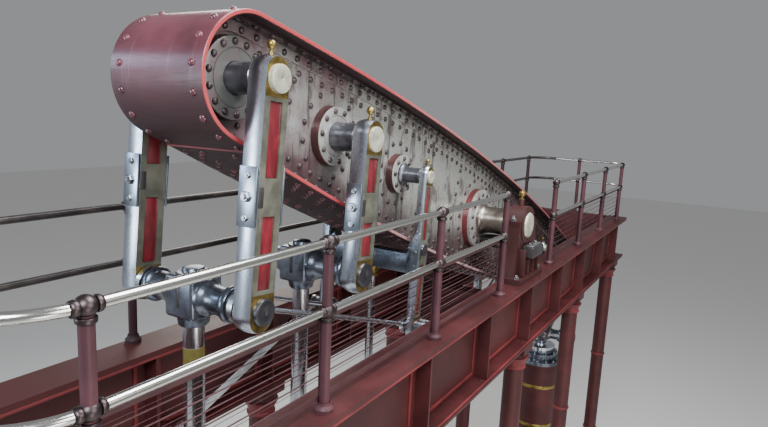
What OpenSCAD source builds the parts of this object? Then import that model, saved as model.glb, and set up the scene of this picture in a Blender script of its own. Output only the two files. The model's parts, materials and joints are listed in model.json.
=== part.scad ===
// Compound beam pumping engine: a riveted beam on its trunnion bearings, hung with links and
// crossheads, over the cylinders of the steam end and the ram pump of the far end.
// Millimetres. +X runs to the pump end, +Z is up, the ground is z = 0 under the trunnion.
// Near means the -Y side and far means the +Y side. Names with low and high belong to the
// low-pressure and the high-pressure cylinder and to what hangs over them.

/* [Engine] */
// Height of the trunnion's centre above the ground
trunnion_h = 6350; // [6300:10:6600]
// Slope of the beam at the top of its stroke, steam end up, in degrees
beam_slope = 18.6; // [17:0.1:19]
// Trunnion centre to each end gudgeon
end_radius = 4013; // [3950:1:4060]
// Clearance between the low-pressure and high-pressure cylinders' flanges
low_high_gap = 18.7; // [10:0.1:30]
// Clearance between the high-pressure cylinder's and the air pump's flanges
high_air_gap = 231; // [200:1:260]

/* [Beam] */
// Depth of the beam over its plates at the trunnion
beam_depth = 1200; // [1160:1:1240]
// Radius of the beam's round ends over the cover plate
beam_end_r = 367; // [355:1:375]
// Width of the cover plate
cover_w = 740; // [700:1:744]
// Thickness of the cover plate
cover_t = 25; // [18:1:30]
// Distance between the outer faces of the two webs
webs_over = 330; // [300:1:350]
// Thickness of each web plate
web_t = 20; // [14:1:26]
// Depth of an angle iron's leg on the web
angle_leg = 82; // [75:1:100]
// Reach of an angle iron's leg along the cover plate
angle_foot = 110; // [90:1:120]
// Thickness of the angle irons
angle_t = 20; // [14:1:24]
// Distance between the outer faces of the gudgeon bosses
bosses_over = 470; // [450:1:480]
// Radius of the end gudgeons' bosses
end_boss_r = 238; // [225:1:240]
// Radius of the high-pressure gudgeon's bosses
high_boss_r = 215; // [200:1:230]
// Radius of the back-link gudgeons' bosses
back_boss_r = 170; // [160:1:185]
// Radius of the trunnion's bosses
trunnion_boss_r = 330; // [300:1:345]
// Distance between the outer faces of the trunnion's bosses
trunnion_bosses_over = 520; // [480:1:540]

/* [Gudgeons] */
// Radius of the end gudgeons in the link brasses
end_pin_r = 79; // [72:1:82]
// Radius of the high-pressure gudgeon in the link brasses
high_pin_r = 88; // [80:1:90]
// Radius of the back-link gudgeons in the link brasses
back_pin_r = 54; // [48:1:55]
// Radius of the trunnion in its bearings
trunnion_r = 137; // [125:1:145]
// Radius of the trunnion's body between its bearings
trunnion_body_r = 152; // [148:1:165]
// How much thicker a gudgeon is between the beam and its links
shoulder = 12; // [3:1:14]
// Length over the ends of the trunnion
trunnion_len = 1654; // [1640:1:1680]
// Running clearance of a pin in its brasses
run_fit = 0.1; // [0.05:0.05:0.1]

/* [Links] */
// Half width of the end links, along the engine
end_link_hw = 105; // [103:1:112]
// Half width of the high-pressure links
high_link_hw = 112; // [111:1:118]
// Half width of the back links
back_link_hw = 72; // [71:1:80]
// Distance from the centre line to the outer face of the end links
end_link_out = 550; // [545:1:552]
// Distance from the centre line to the outer face of the high-pressure links
high_link_out = 558; // [550:1:560]
// Distance from the centre line to the outer face of the back links
back_link_out = 500; // [496:1:505]
// Thickness of the end links across the engine
end_link_t = 128; // [120:1:130]
// Thickness of the high-pressure links across the engine
high_link_t = 122; // [115:1:126]
// Thickness of the back links across the engine
back_link_t = 70; // [66:1:72]
// Thickness of a link's strap
strap_t = 12; // [10:1:14]
// Distance that a strap's round end stands off the pin centre
strap_rise = 25; // [20:1:35]
// Height of the end links' brasses above and below their pins
end_brass_h = 100; // [96:1:110]
// Height of the high-pressure links' brasses above and below their pins
high_brass_h = 108; // [104:1:116]
// Height of the back links' brasses above and below their pins
back_brass_h = 75; // [70:1:84]
// Width of the bars beside a link's panels
bar_w = 44; // [38:1:48]
// Width of the bars beside a back link's panels
back_bar_w = 30; // [26:1:34]
// Depth of the panel recess on a link's outer and inner face
recess_d = 18; // [10:1:24]
// Length of the joint plates at the middle of a link
joint_plate_len = 330; // [280:1:360]
// Length of the block between a link's panels
mid_block_len = 210; // [180:1:260]
// Thickness of the joint plates
joint_plate_t = 10; // [8:1:14]
// How far a high-pressure or back link's pin stands out of the link
pin_proud = 18; // [15:1:18]
// How far an end link's pin stands out of the link
end_proud = 30; // [20:1:34]

/* [Crossheads and rods] */
// Radius of the low-pressure piston rod
low_rod_r = 65; // [58:1:70]
// Radius of the high-pressure piston rod
high_rod_r = 62; // [56:1:66]
// Radius of the air-pump rod
air_rod_r = 37; // [32:1:42]
// Radius of the pump rod
pump_rod_r = 80; // [70:1:85]
// Half width of a crosshead's boss
boss_hw = 120; // [110:1:126]
// Height of a crosshead's boss above its pin centre
boss_up = 130; // [120:1:135]
// Depth of a crosshead's boss below its pin centre
boss_down = 190; // [180:1:200]
// Height of the cap on a crosshead
cap_h = 45; // [40:1:60]
// Radius of the cap on a crosshead
cap_r = 68; // [62:1:75]
// Radius of a crosshead's arm at its waist
arm_r = 86; // [80:1:92]
// Radius of a crosshead's arm at its root and collar
arm_flare_r = 112; // [104:1:118]
// Thickness of the air-pump yoke, along the engine
yoke_t = 110; // [90:1:116]
// Depth of the air-pump yoke
yoke_depth = 170; // [150:1:175]
// Drop from the beam's underside to the yoke's top edge
yoke_drop = 71; // [65:1:80]
// Width of a parallel rod's eye, across the engine
rod_eye_w = 38; // [34:1:40]
// Wall of a parallel rod's eye round its pin
eye_wall = 22; // [18:1:24]
// Radius of a parallel rod's shank
parallel_rod_r = 17; // [14:1:19]
// Width of a radius rod, across the engine
radius_rod_w = 28; // [24:1:30]
// Depth of a radius rod
radius_rod_h = 80; // [70:1:90]

/* [Frame] */
// Height of the trunnion's centre above the entablature
pedestal_h = 590; // [580:1:600]
// Depth of the entablature girders
girder_depth = 750; // [720:1:800]
// Distance from the centre line to a girder's web
girder_y = 780; // [775:1:785]
// Width of a girder's flanges
girder_flange_w = 320; // [300:1:326]
// Thickness of a girder's flanges
girder_flange_t = 40; // [30:1:50]
// Thickness of a girder's web
girder_web_t = 30; // [24:1:40]
// Length of the entablature
frame_len = 11200; // [11100:10:11400]
// Width of the trunnion bearings, across the engine
bearing_w = 178; // [160:1:180]
// Half length of a trunnion pedestal, along the engine
pedestal_hl = 330; // [300:1:350]
// Depth of the bedplate
bed_h = 300; // [280:1:320]
// Width of the bedplate
bed_w = 1920; // [1900:10:1960]
// Radius of the columns
column_r = 110; // [95:1:120]
// Distance from an end of the bedplate to its holding-down bolts
bolt_in_x = 250; // [220:1:300]
// Distance from a side of the bedplate to its holding-down bolts
bolt_in_y = 560; // [500:1:600]
// Radius of the holes for the holding-down bolts
bolt_r = 35; // [28:1:40]

/* [Cylinders and pumps] */
// Inside radius of the low-pressure cylinder
low_bore_r = 480; // [460:1:490]
// Inside radius of the high-pressure cylinder
high_bore_r = 315; // [300:1:325]
// Inside radius of the air pump
air_bore_r = 250; // [230:1:255]
// Radius of the pump's ram
ram_r = 230; // [215:1:245]
// Thickness of a cylinder's wall
cyl_wall = 65; // [55:1:65]
// Reach of a cylinder's flanges past its wall
cyl_lip = 40; // [30:1:42]
// Height of a stuffing box and its gland
gland_h = 160; // [140:1:180]

/* [Guard rails] */
// Height of the top rail above the entablature
rail_top = 1000; // [980:1:1050]
// Height of the middle rail above the entablature
rail_mid = 605; // [580:1:620]
// Radius of the rails
rail_r = 24; // [20:1:28]
// Radius of the posts
post_r = 30; // [26:1:34]
// Radius of the ball fittings
ball_r = 42; // [38:1:46]
// Distance from the centre line to the near rail
rail_near_y = 840; // [830:1:850]
// Distance from the centre line to the far rail
rail_far_y = 880; // [870:1:885]
// Distance between posts
post_pitch = 1427; // [1410:1:1440]
// Distance along the engine from the trunnion to the first post
first_post = 840; // [800:1:850]

/* [Hidden] */
$fn = 64;

// Colours
plum = [0.42, 0.25, 0.29];
maroon = [0.45, 0.16, 0.18];
steel = [0.72, 0.74, 0.77];
olive = [0.45, 0.46, 0.38];
brass = [0.72, 0.56, 0.20];
iron_red = [0.36, 0.10, 0.11];
blue_grey = [0.40, 0.44, 0.50];
mauve = [0.47, 0.24, 0.30];

// Rods hang at the middle of their gudgeons' swing, so the cylinders' flanges, with their
// clearances, space the gudgeons along the beam
swing_mean = (1 + cos(beam_slope)) / 2;
low_flange_r = low_bore_r + cyl_wall + cyl_lip;
high_flange_r = high_bore_r + cyl_wall + cyl_lip;
air_flange_r = air_bore_r + cyl_wall + cyl_lip;
high_radius = end_radius - (low_flange_r + low_high_gap + high_flange_r) / swing_mean;
back_radius = high_radius - (high_flange_r + high_air_gap + air_flange_r) / swing_mean;

// The beam's edge is an arc that meets the round ends smoothly
half_depth = beam_depth / 2;
edge_r = (pow(end_radius, 2) + pow(half_depth, 2) - pow(beam_end_r, 2)) / (2 * (half_depth - beam_end_r));
edge_steps = 24;
arc_steps = 24;
end_turn = asin(end_radius / (edge_r - beam_end_r));
web_out = webs_over / 2;
boss_out = bosses_over / 2;
angle_out = web_out + angle_t;

// Straight line on which the ends of the links' pins rise and fall
rise = end_radius * sin(beam_slope);
sweep_in = end_radius * (1 - cos(beam_slope)) / 2;
low_x = -end_radius * swing_mean;
high_x = low_x * high_radius / end_radius;
air_x = low_x * back_radius / end_radius;

// Depth of the yoke's top edge under the trunnion's centre: its drop below the beam's edge,
// which passes lowest over the yoke's pump side
yoke_side = air_x + yoke_t / 2;
yoke_u = (yoke_side + edge_v(yoke_side, 0) * sin(beam_slope)) / cos(beam_slope);
yoke_top = yoke_drop + yoke_u * sin(beam_slope) + edge_v(yoke_u, 0) * cos(beam_slope);
pump_x = -low_x;
link_len = sqrt(pow(rise, 2) + pow(sweep_in, 2));
link_lean = atan(sweep_in / rise);
high_link_len = link_len * high_radius / end_radius;
back_mid = link_len * back_radius / end_radius;
low_stroke = 2 * rise;
high_stroke = low_stroke * high_radius / end_radius;
air_stroke = low_stroke * back_radius / end_radius;
air_pin_r = 50;
air_pin_hole = air_pin_r + run_fit;

// Pins of the parallel motion, as distances along and above the trunnion at rest
end_pin = [end_radius * cos(beam_slope), rise];
back_pin = [back_radius * cos(beam_slope), back_radius * sin(beam_slope)];
back_foot = [back_pin[0] + link_len * sin(link_lean), back_pin[1] - link_len * cos(link_lean)];
end_foot = [end_pin[0] + sweep_in, 0];
pump_foot_z = trunnion_h - 2 * rise;

// Lanes across the engine, from the centre line outwards, with side clearance between them
side_gap = 7;
end_link_in = end_link_out - end_link_t;
high_link_in = high_link_out - high_link_t;
back_link_in = back_link_out - back_link_t;
eye_out = end_link_in - side_gap;
eye_in = eye_out - rod_eye_w;
foot_in = eye_in - side_gap / 2;
low_arm_end = foot_in - side_gap;
high_arm_end = high_link_in - side_gap;
yoke_half = back_link_in - side_gap;
radius_rod_in = high_link_out + pin_proud + side_gap;
radius_rod_out = radius_rod_in + radius_rod_w;

// Radius rods swing about pivots on the girders, at the middle of the stroke
radius_len = pow(back_radius, 2) / (end_radius - back_radius);
pivot_z = trunnion_h - link_len * cos(link_lean);
radius_slope = asin((trunnion_h + back_foot[1] - pivot_z) / radius_len);
pivot_x = back_foot[0] + radius_len * cos(radius_slope);
radius_eye_r = 62;
radius_pin_r = 34;

// Entablature, girders and bearings
deck_z = trunnion_h - pedestal_h;
girder_low = deck_z - girder_depth;
bearing_in = girder_y - girder_flange_w / 2;
bearing_out = bearing_in + bearing_w;
cap_wall = 68;
bearing_wall = 120;
cap_top = trunnion_r + cap_wall;
bearing_hw = trunnion_r + bearing_wall;
sole_h = 60;
sole_reach = 90;
stiff_in = 700;
stiff_pitch = (frame_len / 2 - stiff_in) / 4;
column_in = 550;
column_end = frame_len / 2 - column_in;
column_x = [-column_end, -2 * stiff_pitch, 0, 2 * stiff_pitch, column_end];

// Cylinders: each top stands clear under its crosshead's lowest place
travel_gap = 100;
low_top = trunnion_h - low_stroke - boss_down - travel_gap - gland_h;
high_top = trunnion_h - high_stroke - boss_down - travel_gap - gland_h;
air_top = trunnion_h - air_stroke - yoke_top - yoke_depth - travel_gap - gland_h;
ram_gap = 30;
pump_top = pump_foot_z - boss_down - travel_gap - gland_h;
cover_h = 60;
rod_seat = boss_up - 20;
piston_h = 150;
end_room = 80;
low_room = low_stroke + piston_h + 2 * end_room;
high_room = high_stroke + piston_h + 2 * end_room;
air_room = air_stroke + piston_h + 2 * end_room;
piston_gap = 2;
rod_cover = 40;
floor_t = 70;
flange_t = 50;
gasket = 0.3;
high_foot = high_top - cover_h - high_room - floor_t;
air_foot = air_top - cover_h - air_room - floor_t;
ram_room = 40;

// Height of the beam's edge at u along it, and where the edge meets the round end, both with
// the outline inset by t from the cover plate's outer face
function edge_v(u, t) = sqrt(pow(edge_r - t, 2) - pow(u, 2)) - (edge_r - half_depth);
function edge_end(t) = end_radius * (edge_r - t) / (edge_r - beam_end_r);

// Points round one end of the beam: side 1 runs down the +X end and side -1 up the -X end
function end_arc(side, t) = [for (k = [1:arc_steps - 1])
    let (a = side * (90 - end_turn) * (1 - 2 * k / arc_steps), r = beam_end_r - t)
    [side * (end_radius + r * cos(a)), r * sin(a)]];

module beam_outline(t) {
    u_end = edge_end(t);
    top = [for (i = [0:edge_steps]) let (u = u_end * (2 * i / edge_steps - 1)) [u, edge_v(u, t)]];
    low = [for (i = [0:edge_steps]) let (u = u_end * (1 - 2 * i / edge_steps)) [u, -edge_v(u, t)]];
    polygon(concat(top, end_arc(1, t), low, end_arc(-1, t)));
}

// Extrudes an outline drawn along and above the engine, from y0 to y1
module slab(y0, y1) {
    translate([0, y1, 0]) rotate([90, 0, 0]) linear_extrude(y1 - y0) children();
}

// A cylinder lying across the engine, from y0 to y1
module bar_y(r, y0, y1) {
    translate([0, y1, 0]) rotate([90, 0, 0]) cylinder(r = r, h = y1 - y0);
}

// Places children in the beam's own slope, about the trunnion
module on_beam() {
    translate([0, 0, trunnion_h]) rotate([0, beam_slope, 0]) children();
}

module both_sides() {
    children();
    mirror([0, 1, 0]) children();
}

// Holes for every gudgeon, through whatever is drawn in the beam's slope
module gudgeon_holes(y) {
    for (s = [-1, 1]) {
        translate([s * end_radius, 0, 0]) bar_y(end_pin_r + shoulder, -y, y);
        translate([s * back_radius, 0, 0]) bar_y(back_pin_r + shoulder, -y, y);
    }
    translate([-high_radius, 0, 0]) bar_y(high_pin_r + shoulder, -y, y);
    bar_y(trunnion_body_r, -y, y);
}

module beam_web() {
    color(plum) on_beam() difference() {
        slab(-web_out, -web_out + web_t) beam_outline(cover_t);
        gudgeon_holes(web_out + 1);
    }
}

module beam_web_near() { beam_web(); }

module beam_web_far() { mirror([0, 1, 0]) beam_web(); }

module beam_cover_plate() {
    color(maroon) on_beam() difference() {
        slab(-cover_w / 2, cover_w / 2) beam_outline(0);
        slab(-cover_w / 2 - 1, cover_w / 2 + 1) beam_outline(cover_t);
    }
}

module beam_angle_irons() {
    color(plum) on_beam() both_sides() {
        difference() {
            slab(-web_out - angle_foot, -web_out) beam_outline(cover_t);
            slab(-web_out - angle_foot - 1, -angle_out) beam_outline(cover_t + angle_t);
            slab(-angle_out - 1, -web_out + 1) beam_outline(cover_t + angle_leg);
        }
    }
}

module boss(x, r, bore, out) {
    translate([x, 0, 0]) difference() {
        bar_y(r, -out, -web_out);
        bar_y(bore, -out - 1, -web_out + 1);
    }
}

module beam_bosses() {
    color(plum) on_beam() both_sides() {
        for (s = [-1, 1]) {
            boss(s * end_radius, end_boss_r, end_pin_r + shoulder, boss_out);
            boss(s * back_radius, back_boss_r, back_pin_r + shoulder, boss_out);
        }
        boss(-high_radius, high_boss_r, high_pin_r + shoulder, boss_out);
        boss(0, trunnion_boss_r, trunnion_body_r, trunnion_bosses_over / 2);
    }
}

// A gudgeon: thick between its links' inner faces, thinner in the brasses
module gudgeon(x, r, inner, outer) {
    color(steel) on_beam() translate([x, 0, 0]) {
        bar_y(r + shoulder, -inner, inner);
        bar_y(r, -outer, outer);
    }
}

module low_gudgeon() {
    gudgeon(-end_radius, end_pin_r, end_link_in - side_gap, end_link_out + end_proud);
}

module high_gudgeon() {
    gudgeon(-high_radius, high_pin_r, high_link_in - side_gap, high_link_out + pin_proud);
}

module back_gudgeon() {
    gudgeon(-back_radius, back_pin_r, back_link_in - side_gap, back_link_out + pin_proud);
}

module pump_gudgeon() {
    gudgeon(end_radius, end_pin_r, end_link_in - side_gap, end_link_out + end_proud);
}

module pump_back_gudgeon() {
    gudgeon(back_radius, back_pin_r, back_link_in - side_gap, back_link_out + pin_proud);
}

module trunnion_shaft() {
    color(steel) on_beam() {
        bar_y(trunnion_body_r, -bearing_in + side_gap, bearing_in - side_gap);
        bar_y(trunnion_r, -trunnion_len / 2, trunnion_len / 2);
    }
}

// Outline of a link with round ends, from its foot pin at 0 up to its head pin
module link_outline(hw, len) {
    translate([-hw, -strap_rise]) square([2 * hw, len + 2 * strap_rise]);
    for (z = [-strap_rise, len + strap_rise]) translate([0, z]) circle(r = hw);
}

// A link's strap with the joint plates at the middle of its edges
module strap(hw, len, out, t) {
    difference() {
        union() {
            slab(-out, -out + t) link_outline(hw, len);
            translate([-hw - joint_plate_t, -out, (len - joint_plate_len) / 2])
                cube([2 * (hw + joint_plate_t), t, joint_plate_len]);
        }
        slab(-out - 1, -out + t + 1) link_outline(hw - strap_t, len);
    }
}

// A link's frame: two bars and a middle block, with a panel set back between them
module link_frame(hw, len, out, t, half, bar) {
    panel_len = (len - mid_block_len) / 2 - half - bar / 2;
    inner = hw - strap_t;
    difference() {
        translate([-inner, -out, half]) cube([2 * inner, t, len - 2 * half]);
        for (y = [-out - 1, -out + t - recess_d])
            for (z = [half + bar / 2, len - half - bar / 2 - panel_len])
                translate([-inner + bar, y, z])
                    cube([2 * (inner - bar), recess_d + 1, panel_len]);
    }
}

// The brasses that fill a link's ends around its pins
module link_brass(hw, len, out, t, half, pin_r) {
    difference() {
        slab(-out, -out + t) difference() {
            link_outline(hw - strap_t, len);
            translate([-hw, half]) square([2 * hw, len - 2 * half]);
        }
        for (z = [0, len]) translate([0, 0, z]) bar_y(pin_r + run_fit, -out - 1, -out + t + 1);
    }
}

// Places a link by its foot pin: side -1 is the steam end and 1 the pump end
module place_link(side, foot_x, foot_z) {
    translate([side * foot_x, 0, foot_z]) rotate([0, -side * link_lean, 0]) both_sides() children();
}

module at_end_link(side) {
    place_link(side, end_foot[0], side < 0 ? trunnion_h : pump_foot_z) children();
}

module at_high_link() {
    place_link(-1, -high_x, trunnion_h) children();
}

module at_back_link(side) {
    z = side < 0 ? back_foot[1] : back_foot[1] - 2 * back_pin[1];
    place_link(side, back_foot[0], trunnion_h + z) children();
}

module end_link_straps(side) {
    color(steel) at_end_link(side) {
        strap(end_link_hw, link_len, end_link_out, end_link_t);
        bar_y(end_pin_r, -end_link_out - end_proud, -foot_in);
    }
}

module end_link_frames(side) {
    color(olive) at_end_link(side)
        link_frame(end_link_hw, link_len, end_link_out, end_link_t, end_brass_h, bar_w);
}

module end_link_brasses(side) {
    color(brass) at_end_link(side)
        link_brass(end_link_hw, link_len, end_link_out, end_link_t, end_brass_h, end_pin_r);
}

module low_link_straps() { end_link_straps(-1); }

module low_link_frames() { end_link_frames(-1); }

module low_link_brasses() { end_link_brasses(-1); }

module pump_link_straps() { end_link_straps(1); }

module pump_link_frames() { end_link_frames(1); }

module pump_link_brasses() { end_link_brasses(1); }

module high_link_straps() {
    color(steel) at_high_link() {
        strap(high_link_hw, high_link_len, high_link_out, high_link_t);
        bar_y(high_pin_r, -high_link_out - pin_proud, -high_link_in);
    }
}

module high_link_frames() {
    color(olive) at_high_link()
        link_frame(high_link_hw, high_link_len, high_link_out, high_link_t, high_brass_h, bar_w);
}

module high_link_brasses() {
    color(brass) at_high_link()
        link_brass(high_link_hw, high_link_len, high_link_out, high_link_t, high_brass_h, high_pin_r);
}

// The back links carry the air-pump pin at mid length on the steam side
module back_link_strap_set(side) {
    color(steel) at_back_link(side) {
        strap(back_link_hw, link_len, back_link_out, back_link_t);
        bar_y(back_pin_r, -radius_rod_in + side_gap / 2, -foot_in);
        if (side < 0) translate([0, 0, link_len - back_mid])
            bar_y(air_pin_r, -back_link_out - pin_proud, -back_link_in);
    }
}

module back_link_frame_set(side) {
    color(olive) at_back_link(side) difference() {
        link_frame(back_link_hw, link_len, back_link_out, back_link_t, back_brass_h, back_bar_w);
        if (side < 0) translate([0, 0, link_len - back_mid])
            bar_y(air_pin_hole, -back_link_out - 1, -back_link_in + 1);
    }
}

module back_link_brass_set(side) {
    color(brass) at_back_link(side)
        link_brass(back_link_hw, link_len, back_link_out, back_link_t, back_brass_h, back_pin_r);
}

module back_link_straps() { back_link_strap_set(-1); }

module back_link_frames() { back_link_frame_set(-1); }

module back_link_brasses() { back_link_brass_set(-1); }

module pump_back_link_straps() { back_link_strap_set(1); }

module pump_back_link_frames() { back_link_frame_set(1); }

module pump_back_link_brasses() { back_link_brass_set(1); }

// Parallel rods: an eye on each end pin, a turned shank between
module parallel_rod_pair(side) {
    len = end_radius - back_radius;
    foot_z = side < 0 ? trunnion_h : pump_foot_z;
    shank_in = 8;
    end_eye = end_pin_r + eye_wall;
    back_eye = back_pin_r + eye_wall;
    color(steel) translate([side * end_foot[0], 0, foot_z])
        rotate([0, beam_slope, 0]) both_sides() difference() {
            union() {
                bar_y(end_eye, -eye_out, -eye_in);
                translate([-side * len, 0, 0]) bar_y(back_eye, -eye_out, -eye_in);
                translate([side < 0 ? end_eye - shank_in : -len + back_eye - shank_in,
                    -(eye_in + eye_out) / 2, 0])
                    rotate([0, 90, 0])
                        cylinder(r = parallel_rod_r, h = len - end_eye - back_eye + 2 * shank_in);
            }
            bar_y(end_pin_r + run_fit, -eye_out - 1, -eye_in + 1);
            translate([-side * len, 0, 0]) bar_y(back_pin_r + run_fit, -eye_out - 1, -eye_in + 1);
        }
}

module parallel_rods() { parallel_rod_pair(-1); }

module pump_parallel_rods() { parallel_rod_pair(1); }

// Radius rods: flat bars that turn on pins in the girders' brackets
module radius_rod_pair(side) {
    color(steel) translate([side * pivot_x, 0, pivot_z]) rotate([0, -radius_slope, 0])
        both_sides() difference() {
            slab(-radius_rod_out, -radius_rod_in) {
                circle(r = radius_eye_r);
                translate([-side * radius_len, 0]) circle(r = radius_eye_r);
                translate([side < 0 ? 0 : -radius_len, -radius_rod_h / 2])
                    square([radius_len, radius_rod_h]);
            }
            bar_y(radius_pin_r + run_fit, -radius_rod_out - 1, -radius_rod_in + 1);
        }
}

module radius_rods() { radius_rod_pair(-1); }

module pump_radius_rods() { radius_rod_pair(1); }

// A crosshead: a bored boss with a cap and two turned arms with a collar at each end
module crosshead(x, z, rod_r, arm_end, pin_r) {
    root = 22;
    taper = 38;
    collar = 34;
    edge = 8;
    skirt_h = 60;
    arm = [[0, 0], [arm_flare_r, 0], [arm_flare_r, boss_hw + root], [arm_r, boss_hw + root + taper],
        [arm_r, arm_end - collar - taper], [arm_flare_r, arm_end - collar], [arm_flare_r, arm_end - edge],
        [pin_r + edge, arm_end], [0, arm_end]];
    color(blue_grey) translate([x, 0, z]) difference() {
        union() {
            translate([-boss_hw, -boss_hw, -boss_down + skirt_h])
                cube([2 * boss_hw, 2 * boss_hw, boss_up + boss_down - skirt_h]);
            translate([0, 0, -boss_down]) cylinder(r1 = rod_r + root, r2 = boss_hw, h = skirt_h);
            both_sides() rotate([90, 0, 0]) rotate_extrude() polygon(arm);
            translate([0, 0, boss_up]) cylinder(r = cap_r, h = cap_h);
        }
        translate([0, 0, -boss_down - 1]) cylinder(r = rod_r, h = boss_down + rod_seat + 1);
    }
}

module low_crosshead() { crosshead(low_x, trunnion_h, low_rod_r, low_arm_end, end_pin_r); }

module high_crosshead() { crosshead(high_x, trunnion_h, high_rod_r, high_arm_end, high_pin_r); }

module pump_crosshead() { crosshead(pump_x, pump_foot_z, pump_rod_r, low_arm_end, end_pin_r); }

// A rod from its crosshead down to the piston near the top of its cylinder
module piston_rod(x, z, r, top_z, bore_r) {
    foot = top_z - end_room - piston_h;
    color(steel) translate([x, 0, 0]) {
        translate([0, 0, foot]) cylinder(r = r, h = z + rod_seat - foot);
        translate([0, 0, foot]) cylinder(r = bore_r - piston_gap, h = piston_h);
    }
}

module low_piston_rod() { piston_rod(low_x, trunnion_h, low_rod_r, low_top - cover_h, low_bore_r); }

module high_piston_rod() { piston_rod(high_x, trunnion_h, high_rod_r, high_top - cover_h, high_bore_r); }

// The air-pump yoke: a deep plate that dips under the beam, with ends turned up to its pins
module air_pump_yoke() {
    end_w = 42;
    hub_wall = 28;
    hub_h = 90;
    low = -yoke_top - yoke_depth;
    color(blue_grey) translate([air_x, 0, trunnion_h]) difference() {
        union() {
            translate([-yoke_t / 2, -yoke_half, low]) cube([yoke_t, 2 * yoke_half, yoke_depth]);
            both_sides() {
                translate([-yoke_t / 2, -yoke_half, low]) cube([yoke_t, end_w, -low]);
                bar_y(yoke_t / 2, -yoke_half, -yoke_half + end_w);
            }
            translate([0, 0, low - hub_h]) cylinder(r = air_rod_r + hub_wall, h = hub_h);
        }
        translate([0, 0, low - hub_h - 1]) cylinder(r = air_rod_r, h = hub_h + 1 + yoke_depth - rod_cover);
    }
}

module air_pump_rod() {
    head = -yoke_top - rod_cover;
    foot = air_top - cover_h - end_room - piston_h;
    color(steel) translate([air_x, 0, 0]) {
        translate([0, 0, foot]) cylinder(r = air_rod_r, h = trunnion_h + head - foot);
        translate([0, 0, foot]) cylinder(r = air_bore_r - piston_gap, h = piston_h);
    }
}

// The pump rod and its ram, at the bottom of the pump's stroke
module pump_rod() {
    ram_low = bed_h + end_room;
    ram_top = pump_foot_z - boss_down - ram_gap;
    collar_lip = 20;
    collar_h = 30;
    color(steel) translate([pump_x, 0, 0]) {
        translate([0, 0, ram_low]) cylinder(r = pump_rod_r, h = pump_foot_z + rod_seat - ram_low);
        translate([0, 0, ram_low]) cylinder(r = ram_r, h = ram_top - ram_low);
        translate([0, 0, ram_top - collar_h]) cylinder(r = ram_r + collar_lip, h = collar_h);
    }
}

// A trunnion pedestal: a sole, a tapered body and the lower half of the bearing
module trunnion_pedestals() {
    sole_hl = pedestal_hl + sole_h;
    color(iron_red) both_sides() translate([0, 0, deck_z]) difference() {
        union() {
            translate([-sole_hl, -bearing_out - sole_reach, 0])
                cube([2 * sole_hl, bearing_w + sole_reach, sole_h]);
            slab(-bearing_out, -bearing_in) polygon([[-pedestal_hl, sole_h],
                [pedestal_hl, sole_h], [bearing_hw, pedestal_h], [-bearing_hw, pedestal_h]]);
        }
        translate([0, 0, pedestal_h]) bar_y(trunnion_r + run_fit, -bearing_out - 1, -bearing_in + 1);
    }
}

// A bearing cap: a flange on the pedestal, a round crown and a boss for the lubricator
module trunnion_caps() {
    flange_h = 60;
    oil_boss_r = 30;
    oil_boss_h = 70;
    color(iron_red) both_sides() translate([0, 0, trunnion_h]) difference() {
        union() {
            intersection() {
                bar_y(cap_top, -bearing_out, -bearing_in);
                translate([-cap_top, -bearing_out, 0]) cube([2 * cap_top, bearing_w, cap_top]);
            }
            translate([-bearing_hw, -bearing_out, 0]) cube([2 * bearing_hw, bearing_w, flange_h]);
            translate([0, -(bearing_in + bearing_out) / 2, flange_h])
                cylinder(r = oil_boss_r, h = cap_top + oil_boss_h - flange_h);
        }
        bar_y(trunnion_r + run_fit, -bearing_out - 1, -bearing_in + 1);
    }
}

// Round oil trays beside the trunnion's body, each on a stem and an arm from its pedestal
module drip_trays() {
    tray_r = 160;
    tray_h = 30;
    tray_wall = 10;
    tray_y = 430;
    tray_z = trunnion_h - trunnion_body_r - 70;
    stem_r = 30;
    arm_h = 30;
    color(blue_grey) both_sides() translate([0, -tray_y, tray_z]) {
        difference() {
            cylinder(r = tray_r, h = tray_h);
            translate([0, 0, tray_wall]) cylinder(r = tray_r - tray_wall, h = tray_h);
        }
        translate([0, 0, -2 * arm_h]) cylinder(r = stem_r, h = 2 * arm_h);
        translate([-stem_r, -(bearing_in - tray_y), -3 * arm_h])
            cube([2 * stem_r, bearing_in - tray_y + stem_r, arm_h]);
    }
}

// An entablature girder: flanges, web and stiffeners, with the radius rods' brackets and pins
module girder() {
    hl = frame_len / 2;
    stiff_t = 24;
    stiff_w = girder_flange_w - 40;
    bracket_r = 75;
    bracket_t = girder_web_t + 20;
    color(iron_red) {
        for (z = [girder_low, deck_z - girder_flange_t])
            translate([-hl, -girder_y - girder_flange_w / 2, z])
                cube([frame_len, girder_flange_w, girder_flange_t]);
        translate([-hl, -girder_y - girder_web_t / 2, girder_low])
            cube([frame_len, girder_web_t, girder_depth]);
        for (i = [-4:4])
            translate([i * stiff_pitch - stiff_t / 2, -girder_y - stiff_w / 2, girder_low])
                cube([stiff_t, stiff_w, girder_depth]);
        for (s = [-1, 1]) translate([s * pivot_x, 0, pivot_z]) {
            translate([-bracket_r, -girder_y - bracket_t / 2, 0])
                cube([2 * bracket_r, bracket_t, deck_z - pivot_z - girder_flange_t / 2]);
            bar_y(bracket_r, -girder_y - bracket_t / 2, -radius_rod_out - side_gap);
            bar_y(radius_pin_r, -girder_y, -radius_rod_in);
        }
    }
}

module girder_near() { girder(); }

module girder_far() { mirror([0, 1, 0]) girder(); }

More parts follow.
